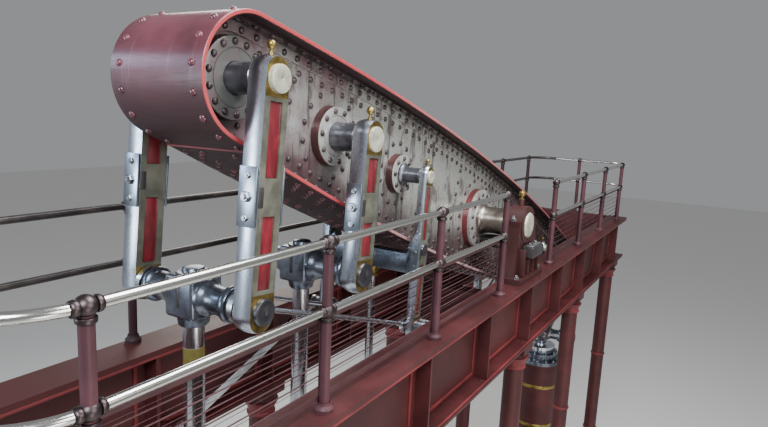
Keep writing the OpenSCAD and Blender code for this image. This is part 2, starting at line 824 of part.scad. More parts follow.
// Cross girders close both ends of the entablature and tie it under the trunnion
module cross_girders() {
    span = 2 * (girder_y - girder_web_t / 2);
    end_w = 120;
    end_in = 40;
    tie_w = 88;
    tie_gap = 24;
    tie_drop = 260;
    end_low = girder_low + girder_flange_t;
    color(iron_red) {
        for (s = [-1, 1]) translate([s * (frame_len / 2 - end_w / 2 - end_in) - end_w / 2, 0, 0]) {
            translate([0, -span / 2, end_low]) cube([end_w, span, girder_depth - 2 * girder_flange_t]);
            translate([0, -bearing_in, deck_z - girder_flange_t])
                cube([end_w, 2 * bearing_in, girder_flange_t]);
        }
        for (x = [-tie_gap / 2 - tie_w, tie_gap / 2]) translate([x, -span / 2, end_low])
            cube([tie_w, span, girder_depth - girder_flange_t - tie_drop]);
    }
}

// Columns between the bedplate and the girders, with square base and cap
module columns() {
    pad = 150;
    foot_h = 90;
    ring_lip = 25;
    ring_h = 60;
    color(iron_red) for (x = column_x, s = [-1, 1]) translate([x, s * girder_y, bed_h]) {
        translate([-pad, -pad, 0]) cube([2 * pad, 2 * pad, foot_h]);
        cylinder(r = column_r, h = girder_low - bed_h);
        translate([0, 0, foot_h]) cylinder(r = column_r + ring_lip, h = ring_h);
        translate([0, 0, girder_low - bed_h - foot_h - ring_h])
            cylinder(r = column_r + ring_lip, h = ring_h);
        translate([-pad, -pad, girder_low - bed_h - foot_h]) cube([2 * pad, 2 * pad, foot_h]);
    }
}

module bedplate() {
    color(iron_red) difference() {
        translate([-frame_len / 2, -bed_w / 2, 0]) cube([frame_len, bed_w, bed_h]);
        for (x = [-1, 1], y = [-1, 1])
            translate([x * (frame_len / 2 - bolt_in_x), y * (bed_w / 2 - bolt_in_y), -1])
                cylinder(r = bolt_r, h = bed_h + 2);
    }
}

// A hollow cylinder on a closed foot, flanged at both ends, with its cover left off
module barrel(x, foot_z, top_z, bore, room) {
    face_z = top_z - cover_h - gasket;
    color(iron_red) translate([x, 0, 0]) difference() {
        union() {
            translate([0, 0, foot_z]) cylinder(r = bore + cyl_wall, h = face_z - foot_z);
            translate([0, 0, foot_z]) cylinder(r = bore + cyl_wall + cyl_lip, h = flange_t);
            translate([0, 0, face_z - flange_t]) cylinder(r = bore + cyl_wall + cyl_lip, h = flange_t);
        }
        translate([0, 0, top_z - cover_h - room]) cylinder(r = bore, h = room + 1);
    }
}

module low_cylinder() { barrel(low_x, bed_h, low_top, low_bore_r, low_room); }

module high_cylinder() { barrel(high_x, high_foot, high_top, high_bore_r, high_room); }

module air_pump() { barrel(air_x, air_foot, air_top, air_bore_r, air_room); }

module pump_barrel() {
    barrel(pump_x, bed_h, pump_top, ram_r + ram_room, pump_top - cover_h - bed_h - floor_t);
}

// Stools that raise the shorter cylinders above the bedplate
module stool(x, flange_r, foot_z) {
    translate([x, 0, bed_h]) {
        cylinder(r1 = flange_r, r2 = flange_r - cyl_wall, h = foot_z - bed_h);
        cylinder(r = flange_r, h = flange_t);
        translate([0, 0, foot_z - bed_h - flange_t]) cylinder(r = flange_r, h = flange_t);
    }
}

module cylinder_stools() {
    color(iron_red) {
        stool(high_x, high_flange_r, high_foot);
        stool(air_x, air_flange_r, air_foot);
    }
}

// A cylinder's cover with its stuffing box and gland, bored for the rod
module cover(x, top_z, r, rod_r) {
    box_wall = 60;
    gland_wall = 30;
    gland_lip = 80;
    neck_h = 40;
    lip_h = 30;
    translate([x, 0, top_z - cover_h]) difference() {
        union() {
            cylinder(r = r, h = cover_h);
            cylinder(r = rod_r + box_wall, h = cover_h + gland_h - neck_h);
            translate([0, 0, cover_h + gland_h - neck_h - lip_h])
                cylinder(r = rod_r + gland_lip, h = lip_h);
            cylinder(r = rod_r + gland_wall, h = cover_h + gland_h);
        }
        translate([0, 0, -1]) cylinder(r = rod_r + run_fit, h = cover_h + gland_h + 2);
    }
}

module stuffing_boxes() {
    color(blue_grey) {
        cover(low_x, low_top, low_flange_r, low_rod_r);
        cover(high_x, high_top, high_flange_r, high_rod_r);
        cover(air_x, air_top, air_flange_r, air_rod_r);
        cover(pump_x, pump_top, ram_r + ram_room + cyl_wall + cyl_lip, ram_r);
    }
}

// Guard rails: two straight runs on each side and a bend round each end of the well
last_post = first_post + 3 * post_pitch;
end_in = 100;
bend_r = frame_len / 2 - last_post - end_in;

module post(x, y) {
    foot_lip = 25;
    foot_h = 20;
    translate([x, y, deck_z]) {
        cylinder(r = post_r, h = rail_top);
        cylinder(r = post_r + foot_lip, h = foot_h);
        for (z = [rail_mid, rail_top]) translate([0, 0, z]) sphere(r = ball_r);
    }
}

module guard_posts() {
    color(mauve) for (s = [-1, 1]) {
        for (i = [0:3]) {
            post(s * (first_post + i * post_pitch), -rail_near_y);
            post(s * (first_post + i * post_pitch), rail_far_y);
        }
        post(s * (last_post + bend_r), 0);
    }
}

// One rail from the first post round the end to the other side, less the balls on it
module rail_loop(z) {
    straight = last_post - first_post;
    for (flip = [0, 1]) mirror([flip, 0, 0]) {
        for (side = [[-rail_near_y, 1], [rail_far_y, -1]]) {
            translate([first_post, side[0], z]) rotate([0, 90, 0]) cylinder(r = rail_r, h = straight);
            translate([last_post, side[0] + side[1] * bend_r, z])
                rotate([0, 0, side[1] > 0 ? -90 : 0]) rotate_extrude(angle = 90)
                    translate([bend_r, 0]) circle(r = rail_r);
        }
        translate([last_post + bend_r, -rail_near_y + bend_r, z]) rotate([-90, 0, 0])
            cylinder(r = rail_r, h = rail_near_y + rail_far_y - 2 * bend_r);
    }
}

module guard_rails() {
    color(steel) difference() {
        for (z = [rail_mid, rail_top]) rail_loop(deck_z + z);
        guard_posts();
    }
}

// Wire infill on flat bars, clipped to the well side of the near posts
module guard_mesh() {
    flat_w = 32;
    flat_t = 6;
    wire_r = 4;
    clip_gap = 0.3;
    low = 60;
    high = rail_mid - 70;
    wires = 6;
    straight = last_post - first_post;
    y = -rail_near_y + post_r + clip_gap;
    color(mauve) for (flip = [0, 1]) mirror([flip, 0, 0]) translate([first_post, y, deck_z]) {
        for (z = [low, high]) translate([0, 0, z]) cube([straight, flat_t, flat_w]);
        for (i = [0:3]) translate([i * post_pitch - flat_w / 2, 0, low])
            cube([flat_w, flat_t, high - low + flat_w]);
        for (k = [1:wires]) translate([0, wire_r, low + k * (high - low) / (wires + 1) + flat_w / 2])
            rotate([0, 90, 0]) cylinder(r = wire_r, h = straight);
    }
}

beam_web_near();
beam_web_far();
beam_cover_plate();
beam_angle_irons();
beam_bosses();
low_gudgeon();
high_gudgeon();
back_gudgeon();
pump_gudgeon();
pump_back_gudgeon();
trunnion_shaft();
low_link_straps();
low_link_frames();
low_link_brasses();
high_link_straps();
high_link_frames();
high_link_brasses();
back_link_straps();
back_link_frames();
back_link_brasses();
pump_link_straps();
pump_link_frames();
pump_link_brasses();
pump_back_link_straps();
pump_back_link_frames();
pump_back_link_brasses();
parallel_rods();
pump_parallel_rods();
radius_rods();
pump_radius_rods();
low_crosshead();
low_piston_rod();
high_crosshead();
high_piston_rod();
air_pump_yoke();
air_pump_rod();
pump_crosshead();
pump_rod();
trunnion_pedestals();
trunnion_caps();
drip_trays();
girder_near();
girder_far();
cross_girders();
columns();
bedplate();
low_cylinder();
high_cylinder();
air_pump();
pump_barrel();
cylinder_stools();
stuffing_boxes();
guard_posts();
guard_rails();
guard_mesh();
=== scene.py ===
"""Dresses the compound beam pumping engine: riveted and turned detail, finishes, lights, camera."""

import json
import math
from functools import cache, cached_property
from typing import NamedTuple

import bmesh
import bpy
from bpy.props import FloatProperty, FloatVectorProperty, IntProperty, PointerProperty
from mathutils import Matrix, Vector


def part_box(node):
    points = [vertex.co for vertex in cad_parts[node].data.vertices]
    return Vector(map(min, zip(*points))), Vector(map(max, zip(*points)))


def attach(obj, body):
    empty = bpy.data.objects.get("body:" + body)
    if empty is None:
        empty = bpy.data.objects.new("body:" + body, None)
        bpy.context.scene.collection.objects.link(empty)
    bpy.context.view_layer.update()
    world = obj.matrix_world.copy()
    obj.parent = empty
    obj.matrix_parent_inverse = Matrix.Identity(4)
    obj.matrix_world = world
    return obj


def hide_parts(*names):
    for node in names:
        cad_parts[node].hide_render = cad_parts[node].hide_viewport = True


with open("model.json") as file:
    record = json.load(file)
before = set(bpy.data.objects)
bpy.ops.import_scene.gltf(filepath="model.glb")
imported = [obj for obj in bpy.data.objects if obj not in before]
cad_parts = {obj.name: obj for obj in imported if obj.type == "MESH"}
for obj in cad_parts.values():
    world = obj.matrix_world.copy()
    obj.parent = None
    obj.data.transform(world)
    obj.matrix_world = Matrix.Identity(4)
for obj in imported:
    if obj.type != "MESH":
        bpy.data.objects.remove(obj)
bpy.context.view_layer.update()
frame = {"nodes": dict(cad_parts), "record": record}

bl_info = {
    "name": "Beam Engine Dresser",
    "version": (1, 0, 0),
    "blender": (4, 5, 0),
    "location": "View3D > Sidebar > Beam Engine",
    "description": "Adds the rivets, turned work, fittings and finishes of a beam pumping engine",
    "category": "Object",
}

# The joints give the places of every pin at rest
JOINTS = {joint["name"]: joint for joint in frame["record"]["behaviour"]["joints"]}


def pin_place(joint_name):
    return Vector(JOINTS[joint_name]["pos_m"])


TRUNNION = pin_place("beam_swing")
LOW_PIN = pin_place("low_link_pivot")
HIGH_PIN = pin_place("high_link_pivot")
BACK_PIN = pin_place("back_link_pivot")
PUMP_BACK_PIN = pin_place("pump_back_link_pivot")
LOW_FOOT = pin_place("parallel_rod_pivot")
PUMP_FOOT = pin_place("pump_parallel_rod_pivot")
END_RADIUS = (LOW_PIN - TRUNNION).length
HIGH_RADIUS = (HIGH_PIN - TRUNNION).length
BACK_RADIUS = (BACK_PIN - TRUNNION).length
SLOPE = math.atan2(LOW_PIN.z - TRUNNION.z, TRUNNION.x - LOW_PIN.x)
LEAN = math.atan2(LOW_PIN.x - LOW_FOOT.x, LOW_PIN.z - LOW_FOOT.z)
LINK_LEN = (LOW_PIN - LOW_FOOT).length
HIGH_LINK_LEN = LINK_LEN * HIGH_RADIUS / END_RADIUS


def foot_below(pin, length, side):
    """The foot of a link that hangs from a pin and leans to one side."""
    return Vector((pin.x + side * length * math.sin(LEAN), 0, pin.z - length * math.cos(LEAN)))


HIGH_FOOT = foot_below(HIGH_PIN, HIGH_LINK_LEN, -1)
BACK_FOOT = foot_below(BACK_PIN, LINK_LEN, -1)
PUMP_BACK_FOOT = foot_below(PUMP_BACK_PIN, LINK_LEN, 1)

# Faces and levels of the parts that are dressed
DECK_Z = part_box("girder_near")[1][2]
COVER_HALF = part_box("beam_cover_plate")[1][1]
TRUNNION_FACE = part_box("beam_bosses")[1][1]
BOSS_FACE = 0.235
BEARING_IN = 0.620
BEARING_OUT = 0.798
GIRDER_Y = 0.780
BAY = 1.225
SHOULDER = 0.012
LAP_OUT = 3.87
FAR_SIDE = 0.45
RAIL_HEIGHTS = (0.605, 1.000)
RAIL_END = 5.5
SHARP = math.radians(35)

ON_BEAM = Matrix.Translation(TRUNNION) @ Matrix.Rotation(SLOPE, 4, "Y")
ABOUT_Y = Matrix.Rotation(math.pi / 2, 4, "X")
MIRROR_Y = Matrix.Scale(-1, 4, (0, 1, 0))


# Settings


def metres(name, description, default):
    return FloatProperty(name=name, description=description, default=default, unit="LENGTH")


def hue(name, description, default):
    return FloatVectorProperty(name=name, description=description, default=default, subtype="COLOR")


class BeamEngineSizes(bpy.types.PropertyGroup):
    """Sizes of the dressed detail, in metres."""

    half_depth: metres("Half depth", "Half the beam's depth at the trunnion", 0.6)
    end_r: metres("End radius", "Radius of the beam's round ends", 0.367)
    cover_t: metres("Cover thickness", "Thickness of the cover plate", 0.025)
    web_out: metres("Web face", "Centre line to a web's outer face", 0.165)
    angle_t: metres("Angle thickness", "Thickness of the angle irons", 0.020)
    angle_leg: metres("Angle leg", "Depth of the angle irons on the web", 0.082)
    rivet_r: metres("Rivet radius", "Radius of the rivet heads", 0.0222)
    rivet_pitch: metres("Rivet pitch", "Distance between web rivets", 0.128)
    cover_pitch: metres("Cover rivet pitch", "Distance between cover rivets", 0.150)
    wire_rows: IntProperty(name="Wire rows", description="Fine wires between the panel's wires",
                           default=7, min=2, max=12)


class BeamEngineColours(bpy.types.PropertyGroup):
    """Colours of the finishes."""

    cover: hue("Cover plate", "Maroon of the cover plate", (0.112, 0.027, 0.038))
    cover_edge: hue("Cover edge", "Bright red of the plate's edges", (0.36, 0.040, 0.046))
    lap: hue("Lap strips", "Pink of the cover plate's laps", (0.34, 0.075, 0.085))
    # Painted shade laid inside the cover plate
    lining: hue("Lining", "Brown inside the cover plate", (0.032, 0.017, 0.018))
    web: hue("Web", "Plum paint of the webs", (0.130, 0.078, 0.088))
    web_bare: hue("Oiled web", "Oily grey where the paint has gone", (0.37, 0.38, 0.355))
    iron: hue("Frame iron", "Dark red of the girders and columns", (0.062, 0.013, 0.014))
    rib: hue("Ribs", "Brighter red of the ribs", (0.15, 0.023, 0.025))
    pedestal: hue("Pedestals", "Brown of the trunnion bearings", (0.050, 0.014, 0.013))
    panel: hue("Link panels", "Red of the link panels", (0.165, 0.010, 0.018))
    bars: hue("Link bars", "Olive grey of the link bars", (0.135, 0.133, 0.104))
    brass: hue("Brass", "Colour of the brasses", (0.37, 0.265, 0.080))
    guard: hue("Guard posts", "Mauve of the guard posts", (0.064, 0.022, 0.029))
    wire: hue("Guard wires", "Paint of the guards' wires", (0.070, 0.030, 0.034))


def sizes():
    return bpy.context.scene.beam_engine_sizes


def tone(name, factor=1.0):
    """A colour from the settings, made lighter or darker."""
    return shade(getattr(bpy.context.scene.beam_engine_colours, name), factor)


def shade(values, factor):
    return tuple(min(1.0, value * factor) for value in values)


# Shader building


class Value:
    """A node socket that takes part in Python arithmetic."""

    def __init__(self, graph, socket):
        self.graph = graph
        self.socket = socket

    def math(self, operation, *values):
        return self.graph.add("ShaderNodeMath", {"operation": operation}, values)

    def __add__(self, other):
        return self.math("ADD", self, other)

    def __sub__(self, other):
        return self.math("SUBTRACT", self, other)

    def __rsub__(self, other):
        return self.math("SUBTRACT", other, self)

    def __mul__(self, other):
        return self.math("MULTIPLY", self, other)

    def __gt__(self, other):
        return self.math("GREATER_THAN", self, other)

    def __lt__(self, other):
        return self.math("LESS_THAN", self, other)

    def __abs__(self):
        return self.math("ABSOLUTE", self)

    __radd__ = __add__
    __rmul__ = __mul__


class Graph:
    """A material's node tree, built one call at a time."""

    def __init__(self, name):
        self.material = bpy.data.materials.new(name)
        self.material.use_nodes = True
        self.tree = self.material.node_tree
        self.tree.nodes.clear()
        self.out = self.tree.nodes.new("ShaderNodeOutputMaterial")

    @cached_property
    def spot(self):
        """The place on the surface, in metres."""
        return self.place()

    @cached_property
    def across(self):
        """The distance from the centre line."""
        return abs(self.axis(self.spot, "Y"))

    def put(self, socket, value):
        if isinstance(value, Value):
            self.tree.links.new(value.socket, socket)
        elif socket.type == "RGBA":
            socket.default_value = (*value, 1.0)
        else:
            socket.default_value = value

    def add(self, kind, settings, values, output=0):
        """Adds a node: values is a list of its first sockets, or a dict by name or number."""
        node = self.tree.nodes.new(kind)
        for key, setting in settings.items():
            setattr(node, key, setting)
        for key, value in values.items() if isinstance(values, dict) else enumerate(values):
            self.put(node.inputs[key], value)
        return Value(self, node.outputs[output])

    def place(self, scale=(1, 1, 1), turn=(0, 0, 0), shift=(0, 0, 0)):
        spot = self.add("ShaderNodeTexCoord", {}, (), "Object")
        values = {"Vector": spot, "Scale": scale, "Rotation": turn, "Location": shift}
        return self.add("ShaderNodeMapping", {}, values)

    def beam_place(self):
        """Positions along and above the beam, from the trunnion."""
        turn = Matrix.Rotation(-SLOPE, 3, "Y")
        return self.place(turn=(0, -SLOPE, 0), shift=-(turn @ TRUNNION))

    def noise(self, scale, detail, rough, stretch=None, turn=(0, 0, 0)):
        """Noise on the surface, stretched and turned if need be."""
        where = self.place(stretch, turn) if stretch else self.spot
        values = {"Vector": where, "Scale": scale, "Detail": detail, "Roughness": rough}
        return self.add("ShaderNodeTexNoise", {}, values, "Fac")

    def step(self, value, low, high):
        values = {"Value": value, "From Min": low, "From Max": high, "To Min": 0, "To Max": 1}
        return self.add("ShaderNodeMapRange", {"interpolation_type": "SMOOTHSTEP"}, values)

    def axis(self, where, name):
        return self.add("ShaderNodeSeparateXYZ", {}, [where], name)

    def mix(self, factor, a, b):
        return self.add("ShaderNodeMix", {"data_type": "RGBA"}, {0: factor, 6: a, 7: b}, 2)

    def stain(self, base, mask, low, high, over, weight=1):
        """Lays one colour over another where a mask rises from low to high."""
        amount = self.step(mask, low, high)
        return self.mix(amount if weight == 1 else amount * weight, base, over)

    def bump(self, height, strength, distance):
        values = {"Height": height, "Strength": strength, "Distance": distance}
        return self.add("ShaderNodeBump", {}, values, "Normal")

    def finish(self, base, roughness, metallic=0.0, normal=None, coat=0.0, coat_rough=0.15,
               specular=0.5):
        values = {"Base Color": base, "Roughness": roughness, "Metallic": metallic,
                  "Coat Weight": coat, "Coat Roughness": coat_rough, "Specular IOR Level": specular}
        if normal is not None:
            values["Normal"] = normal
        shader = self.add("ShaderNodeBsdfPrincipled", {}, values)
        self.tree.links.new(shader.socket, self.out.inputs[0])
        return self.material


def cover_finish():
    """Maroon gloss with scuffs and dull streaks, painted shade underneath, and a bright red edge.
    """
    g = Graph("maroon_cover")
    beam = g.beam_place()
    clouds = g.noise(1.7, 5, 0.6)
    streaks = g.noise(3.2, 6, 0.62, (0.6, 7.0, 0.6))
    brushed = g.noise(14, 3, 0.6, (9.0, 0.5, 9.0))
    specks = g.noise(46, 3, 0.6)
    below = g.step(g.axis(beam, "Z") * -1.0, 0.02, 0.34)
    base = g.stain(tone("cover", 0.62), clouds, 0.36, 0.68, tone("cover", 1.25))
    base = g.stain(base, streaks, 0.56, 0.74, (0.26, 0.15, 0.17), 0.42)
    # Painted shade: the underside is darkened nearly to black.
    base = g.mix(below * 0.90, base, (0.030, 0.011, 0.013))
    base = g.stain(base, specks, 0.66, 0.72, (0.035, 0.014, 0.014), 0.55)
    # The edge pales towards the middle of the beam: on the upper edges this is a painted highlight,
    # and the edges underneath pale further.
    edge_paling = (0.40 + below * 0.60) * g.step(g.axis(beam, "X"), -3.0, -1.6)
    edge = g.mix(edge_paling * 0.75, tone("cover_edge"), (0.36, 0.28, 0.28))
    edge = g.stain(edge, specks, 0.6, 0.7, tone("cover", 0.8), 0.45)
    on_edge = g.across > COVER_HALF - 0.0035
    gloss = 0.30 + g.step(brushed, 0.4, 0.7) * 0.16 + g.step(clouds, 0.4, 0.75) * 0.10
    normal = g.bump(clouds * 0.6 + specks * 0.12 + brushed * 0.10, 0.22, 0.004)
    return g.finish(g.mix(on_edge, base, edge), gloss + below * 0.34, 0.0, normal,
                    0.26 - below * 0.26, 0.22)


def web_finish():
    """Plum paint gone oily grey in patches, with runs of old oil, painted shade and a painted
    highlight on the angle irons' edges.
    """
    g = Graph("plum_web")
    beam = g.beam_place()
    clouds = g.noise(1.15, 6, 0.66)
    runs = g.noise(2.1, 5, 0.6, (9.0, 1.0, 0.8))
    specks = g.noise(34, 4, 0.65)
    blots = g.noise(4.6, 5, 0.68, (1.6, 1.0, 0.7))
    middle = 1 - g.step(abs(g.axis(beam, "X") + 0.9), 1.2, 3.1)
    height = g.axis(beam, "Z")
    upper = g.step(height, -0.45, 0.30)
    bare = g.step(clouds + runs * 0.25 + middle * 0.34 + upper * 0.16, 0.78, 1.04)
    base = g.mix(bare, tone("web"), tone("web_bare"))
    base = g.stain(base, blots, 0.53, 0.64, (0.070, 0.042, 0.045), 0.70)
    base = g.stain(base, runs, 0.54, 0.64, (0.040, 0.024, 0.024), 0.75)
    base = g.stain(base, specks, 0.60, 0.70, (0.060, 0.026, 0.024), 0.65)
    # Painted shade: the lower part of the web is darkened.
    lower = 1 - g.step(height + (clouds - 0.5) * 0.5, -0.44, -0.06)
    base = g.mix(lower * 0.78, base, (0.050, 0.024, 0.025))
    web = sizes().web_out
    angle = web + sizes().angle_t
    # Painted highlight: the edge faces of the angle irons' legs on the web are made pale.
    lip = (g.across > web + 0.002) * (g.across < angle - 0.002)
    base = g.mix(lip, base, (0.50, 0.47, 0.44))
    # Painted shade: the angle irons' legs that lie against the cover plate are made nearly black.
    base = g.mix(g.across > angle + 0.002, base, (0.030, 0.016, 0.017))
    rough = 0.28 + g.step(specks, 0.45, 0.75) * 0.20 - bare * 0.06
    normal = g.bump(specks * 0.5 + runs * 0.5, 0.30, 0.003)
    return g.finish(base, rough, bare * 0.35, normal, 0.35, 0.2)


def boss_finish(name, rim_dark, rim_light, pale):
    """Oily grey faces on the bosses, with dark rims, redder round the trunnion."""
    g = Graph(name)
    clouds = g.noise(6.5, 5, 0.62)
    specks = g.noise(40, 3, 0.6)
    face = g.stain(tone("web_bare", pale), clouds, 0.45, 0.72, tone("web", 1.35))
    rim = g.stain(rim_dark, clouds, 0.4, 0.7, rim_light)
    by_trunnion = abs(g.axis(g.beam_place(), "X")) < 0.45
    rim = g.mix(by_trunnion * 0.8, rim, (0.14, 0.024, 0.026))
    base = g.stain(rim, g.across, BOSS_FACE - 0.010, BOSS_FACE - 0.004, face)
    base = g.stain(base, specks, 0.62, 0.70, (0.06, 0.025, 0.022), 0.6)
    return g.finish(base, 0.32 + clouds * 0.15, 0.10, g.bump(specks, 0.22, 0.003), 0.35, 0.15)


def steel_noises(name, brushed):
    """A graph with the draw marks and the oil film that all bright steel has."""
    g = Graph(name)
    return g, g.noise(210, 2, 0.5, brushed), g.noise(3.6, 5, 0.62)


def steel_finish(name, bright=(0.60, 0.62, 0.65), brushed=(1, 1, 0.06), rough=0.17):
    """Polished steel with fine draw marks, oil film and a few dull patches."""
    g, marks, film = steel_noises(name, brushed)
    dull = g.step(film, 0.50, 0.74)
    base = g.mix(dull, bright, shade(bright, 0.62))
    base = g.stain(base, g.noise(60, 3, 0.6), 0.64, 0.72, (0.20, 0.15, 0.10), 0.4)
    return g.finish(base, rough + dull * 0.16 + marks * 0.10, 1.0, g.bump(marks, 0.05, 0.0008))


def greased_rod_finish():
    """The large piston rod, with a band of old yellow grease below its crosshead."""
    g, marks, film = steel_noises("greased_rod", (1, 1, 0.06))
    drop = LOW_FOOT.z - g.axis(g.spot, "Z")
    band = g.step(drop, 0.326, 0.334) * (1 - g.step(drop, 0.478, 0.490))
    steel = g.stain((0.60, 0.62, 0.65), film, 0.50, 0.74, (0.37, 0.38, 0.40))
    grease = g.stain((0.23, 0.195, 0.040), film, 0.4, 0.7, (0.12, 0.10, 0.030))
    rough = 0.17 + marks * 0.10 + band * 0.18
    return g.finish(g.mix(band, steel, grease), rough, 1 - band * 0.7, g.bump(marks, 0.05, 0.0008))


def rail_finish():
    """Rails bright on the near side, and dark on the far side."""
    g, marks, film = steel_noises("rail_steel", (0.05, 1, 1))
    bright = g.stain((0.64, 0.64, 0.60), film, 0.55, 0.78, (0.40, 0.39, 0.35))
    bright = g.stain(bright, g.noise(60, 3, 0.6), 0.66, 0.74, (0.22, 0.16, 0.11), 0.5)
    dark = g.stain((0.030, 0.026, 0.027), film, 0.4, 0.7, (0.085, 0.070, 0.065))
    far = g.axis(g.spot, "Y") > FAR_SIDE
    rough = 0.19 + g.step(film, 0.55, 0.78) * 0.14 + far * 0.12
    return g.finish(g.mix(far, bright, dark), rough, 1 - far * 0.5, g.bump(marks, 0.02, 0.0004))


def pin_finish(name, shaft_end, shaft, shaft_film):
    """Gudgeons with dark oiled shafts, and scratched beige ends."""
    g = Graph(name)
    scratches = g.noise(15, 4, 0.7, (24, 1, 3), (0, 0.7, 0))
    film = g.noise(9, 4, 0.6)
    on_shaft = g.across < shaft_end
    end = g.stain((0.58, 0.58, 0.47), film, 0.38, 0.68, (0.38, 0.37, 0.29))
    end = g.stain(end, scratches, 0.55, 0.64, (0.16, 0.13, 0.11), 0.80)
    oiled = g.stain(shaft, film, 0.40, 0.66, shaft_film)
    return g.finish(g.mix(on_shaft, end, oiled), 0.24 + film * 0.16, 0.35 + on_shaft * 0.60,
                    g.bump(scratches, 0.12, 0.001))


def iron_finish(name, paint, level=1.0, far_level=1.0):
    """Gloss paint on castings, with dust, chips and a cast skin beneath."""
    g = Graph(name)
    clouds = g.noise(1.9, 5, 0.62)
    skin = g.noise(55, 3, 0.55)
    chips = g.noise(19, 5, 0.7)
    base = g.stain(shade(paint, 0.70 * level), clouds, 0.35, 0.7, shade(paint, 1.30 * level))
    base = g.mix(g.axis(g.spot, "Y") > FAR_SIDE, base, shade(paint, far_level))
    base = g.stain(base, chips, 0.67, 0.71, (0.045, 0.020, 0.016), 0.75)
    rough = 0.42 + clouds * 0.22 + g.step(chips, 0.6, 0.7) * 0.15
    return g.finish(base, rough, 0.0, g.bump(skin, 0.16, 0.003), 0.08, 0.3, 0.3)


def brass_finish():
    """Old brass: bright where it is worn, brown where oil lies."""
    g = Graph("worn_brass")
    clouds = g.noise(12, 5, 0.65)
    specks = g.noise(70, 3, 0.6)
    base = g.stain(tone("brass"), clouds, 0.40, 0.66, tone("brass", 0.42))
    base = g.stain(base, specks, 0.62, 0.70, (0.10, 0.06, 0.02), 0.6)
    return g.finish(base, 0.24 + clouds * 0.22, 0.95, g.bump(specks, 0.12, 0.001))


def machined_finish():
    """Blue-grey machined forgings, with a film of oil and specks of rust."""
    g = Graph("blue_grey_forging")
    clouds = g.noise(5.5, 5, 0.62)
    marks = g.noise(150, 2, 0.5, (1, 0.08, 1))
    rust = g.noise(27, 4, 0.66)
    base = g.stain((0.095, 0.110, 0.140), clouds, 0.36, 0.68, (0.215, 0.240, 0.285))
    base = g.stain(base, rust, 0.62, 0.72, (0.15, 0.085, 0.05), 0.55)
    return g.finish(base, 0.20 + clouds * 0.16, 0.9, g.bump(marks + rust, 0.08, 0.001))


def dark_iron_finish():
    """Oil-black iron of the trays and oil boxes, also laid on the cotter slots as painted shade."""
    g = Graph("oiled_iron")
    clouds = g.noise(9, 4, 0.6)
    base = g.mix(clouds, (0.025, 0.022, 0.024), (0.10, 0.09, 0.09))
    return g.finish(base, 0.22 + clouds * 0.3, 0.6)


def clouded_finish(name, one, other, cloud, fade, rough, spots=None, bump=None, **looks):
    """Two colours in clouds, and a third in spots: noises are given by what Graph.noise takes."""
    g = Graph(name)
    clouds = g.noise(*cloud)
    base = g.stain(one, clouds, *fade, other)
    if spots:
        noise, *layer = spots
        base = g.stain(base, g.noise(*noise), *layer)
    normal = g.bump(clouds, *bump) if bump else None
    return g.finish(base, rough[0] + clouds * rough[1], normal=normal, **looks)


# Ways in which the draw marks of steel are stretched
EVEN = (1, 1, 1)
LONGWAYS = (1, 1, 0.05)

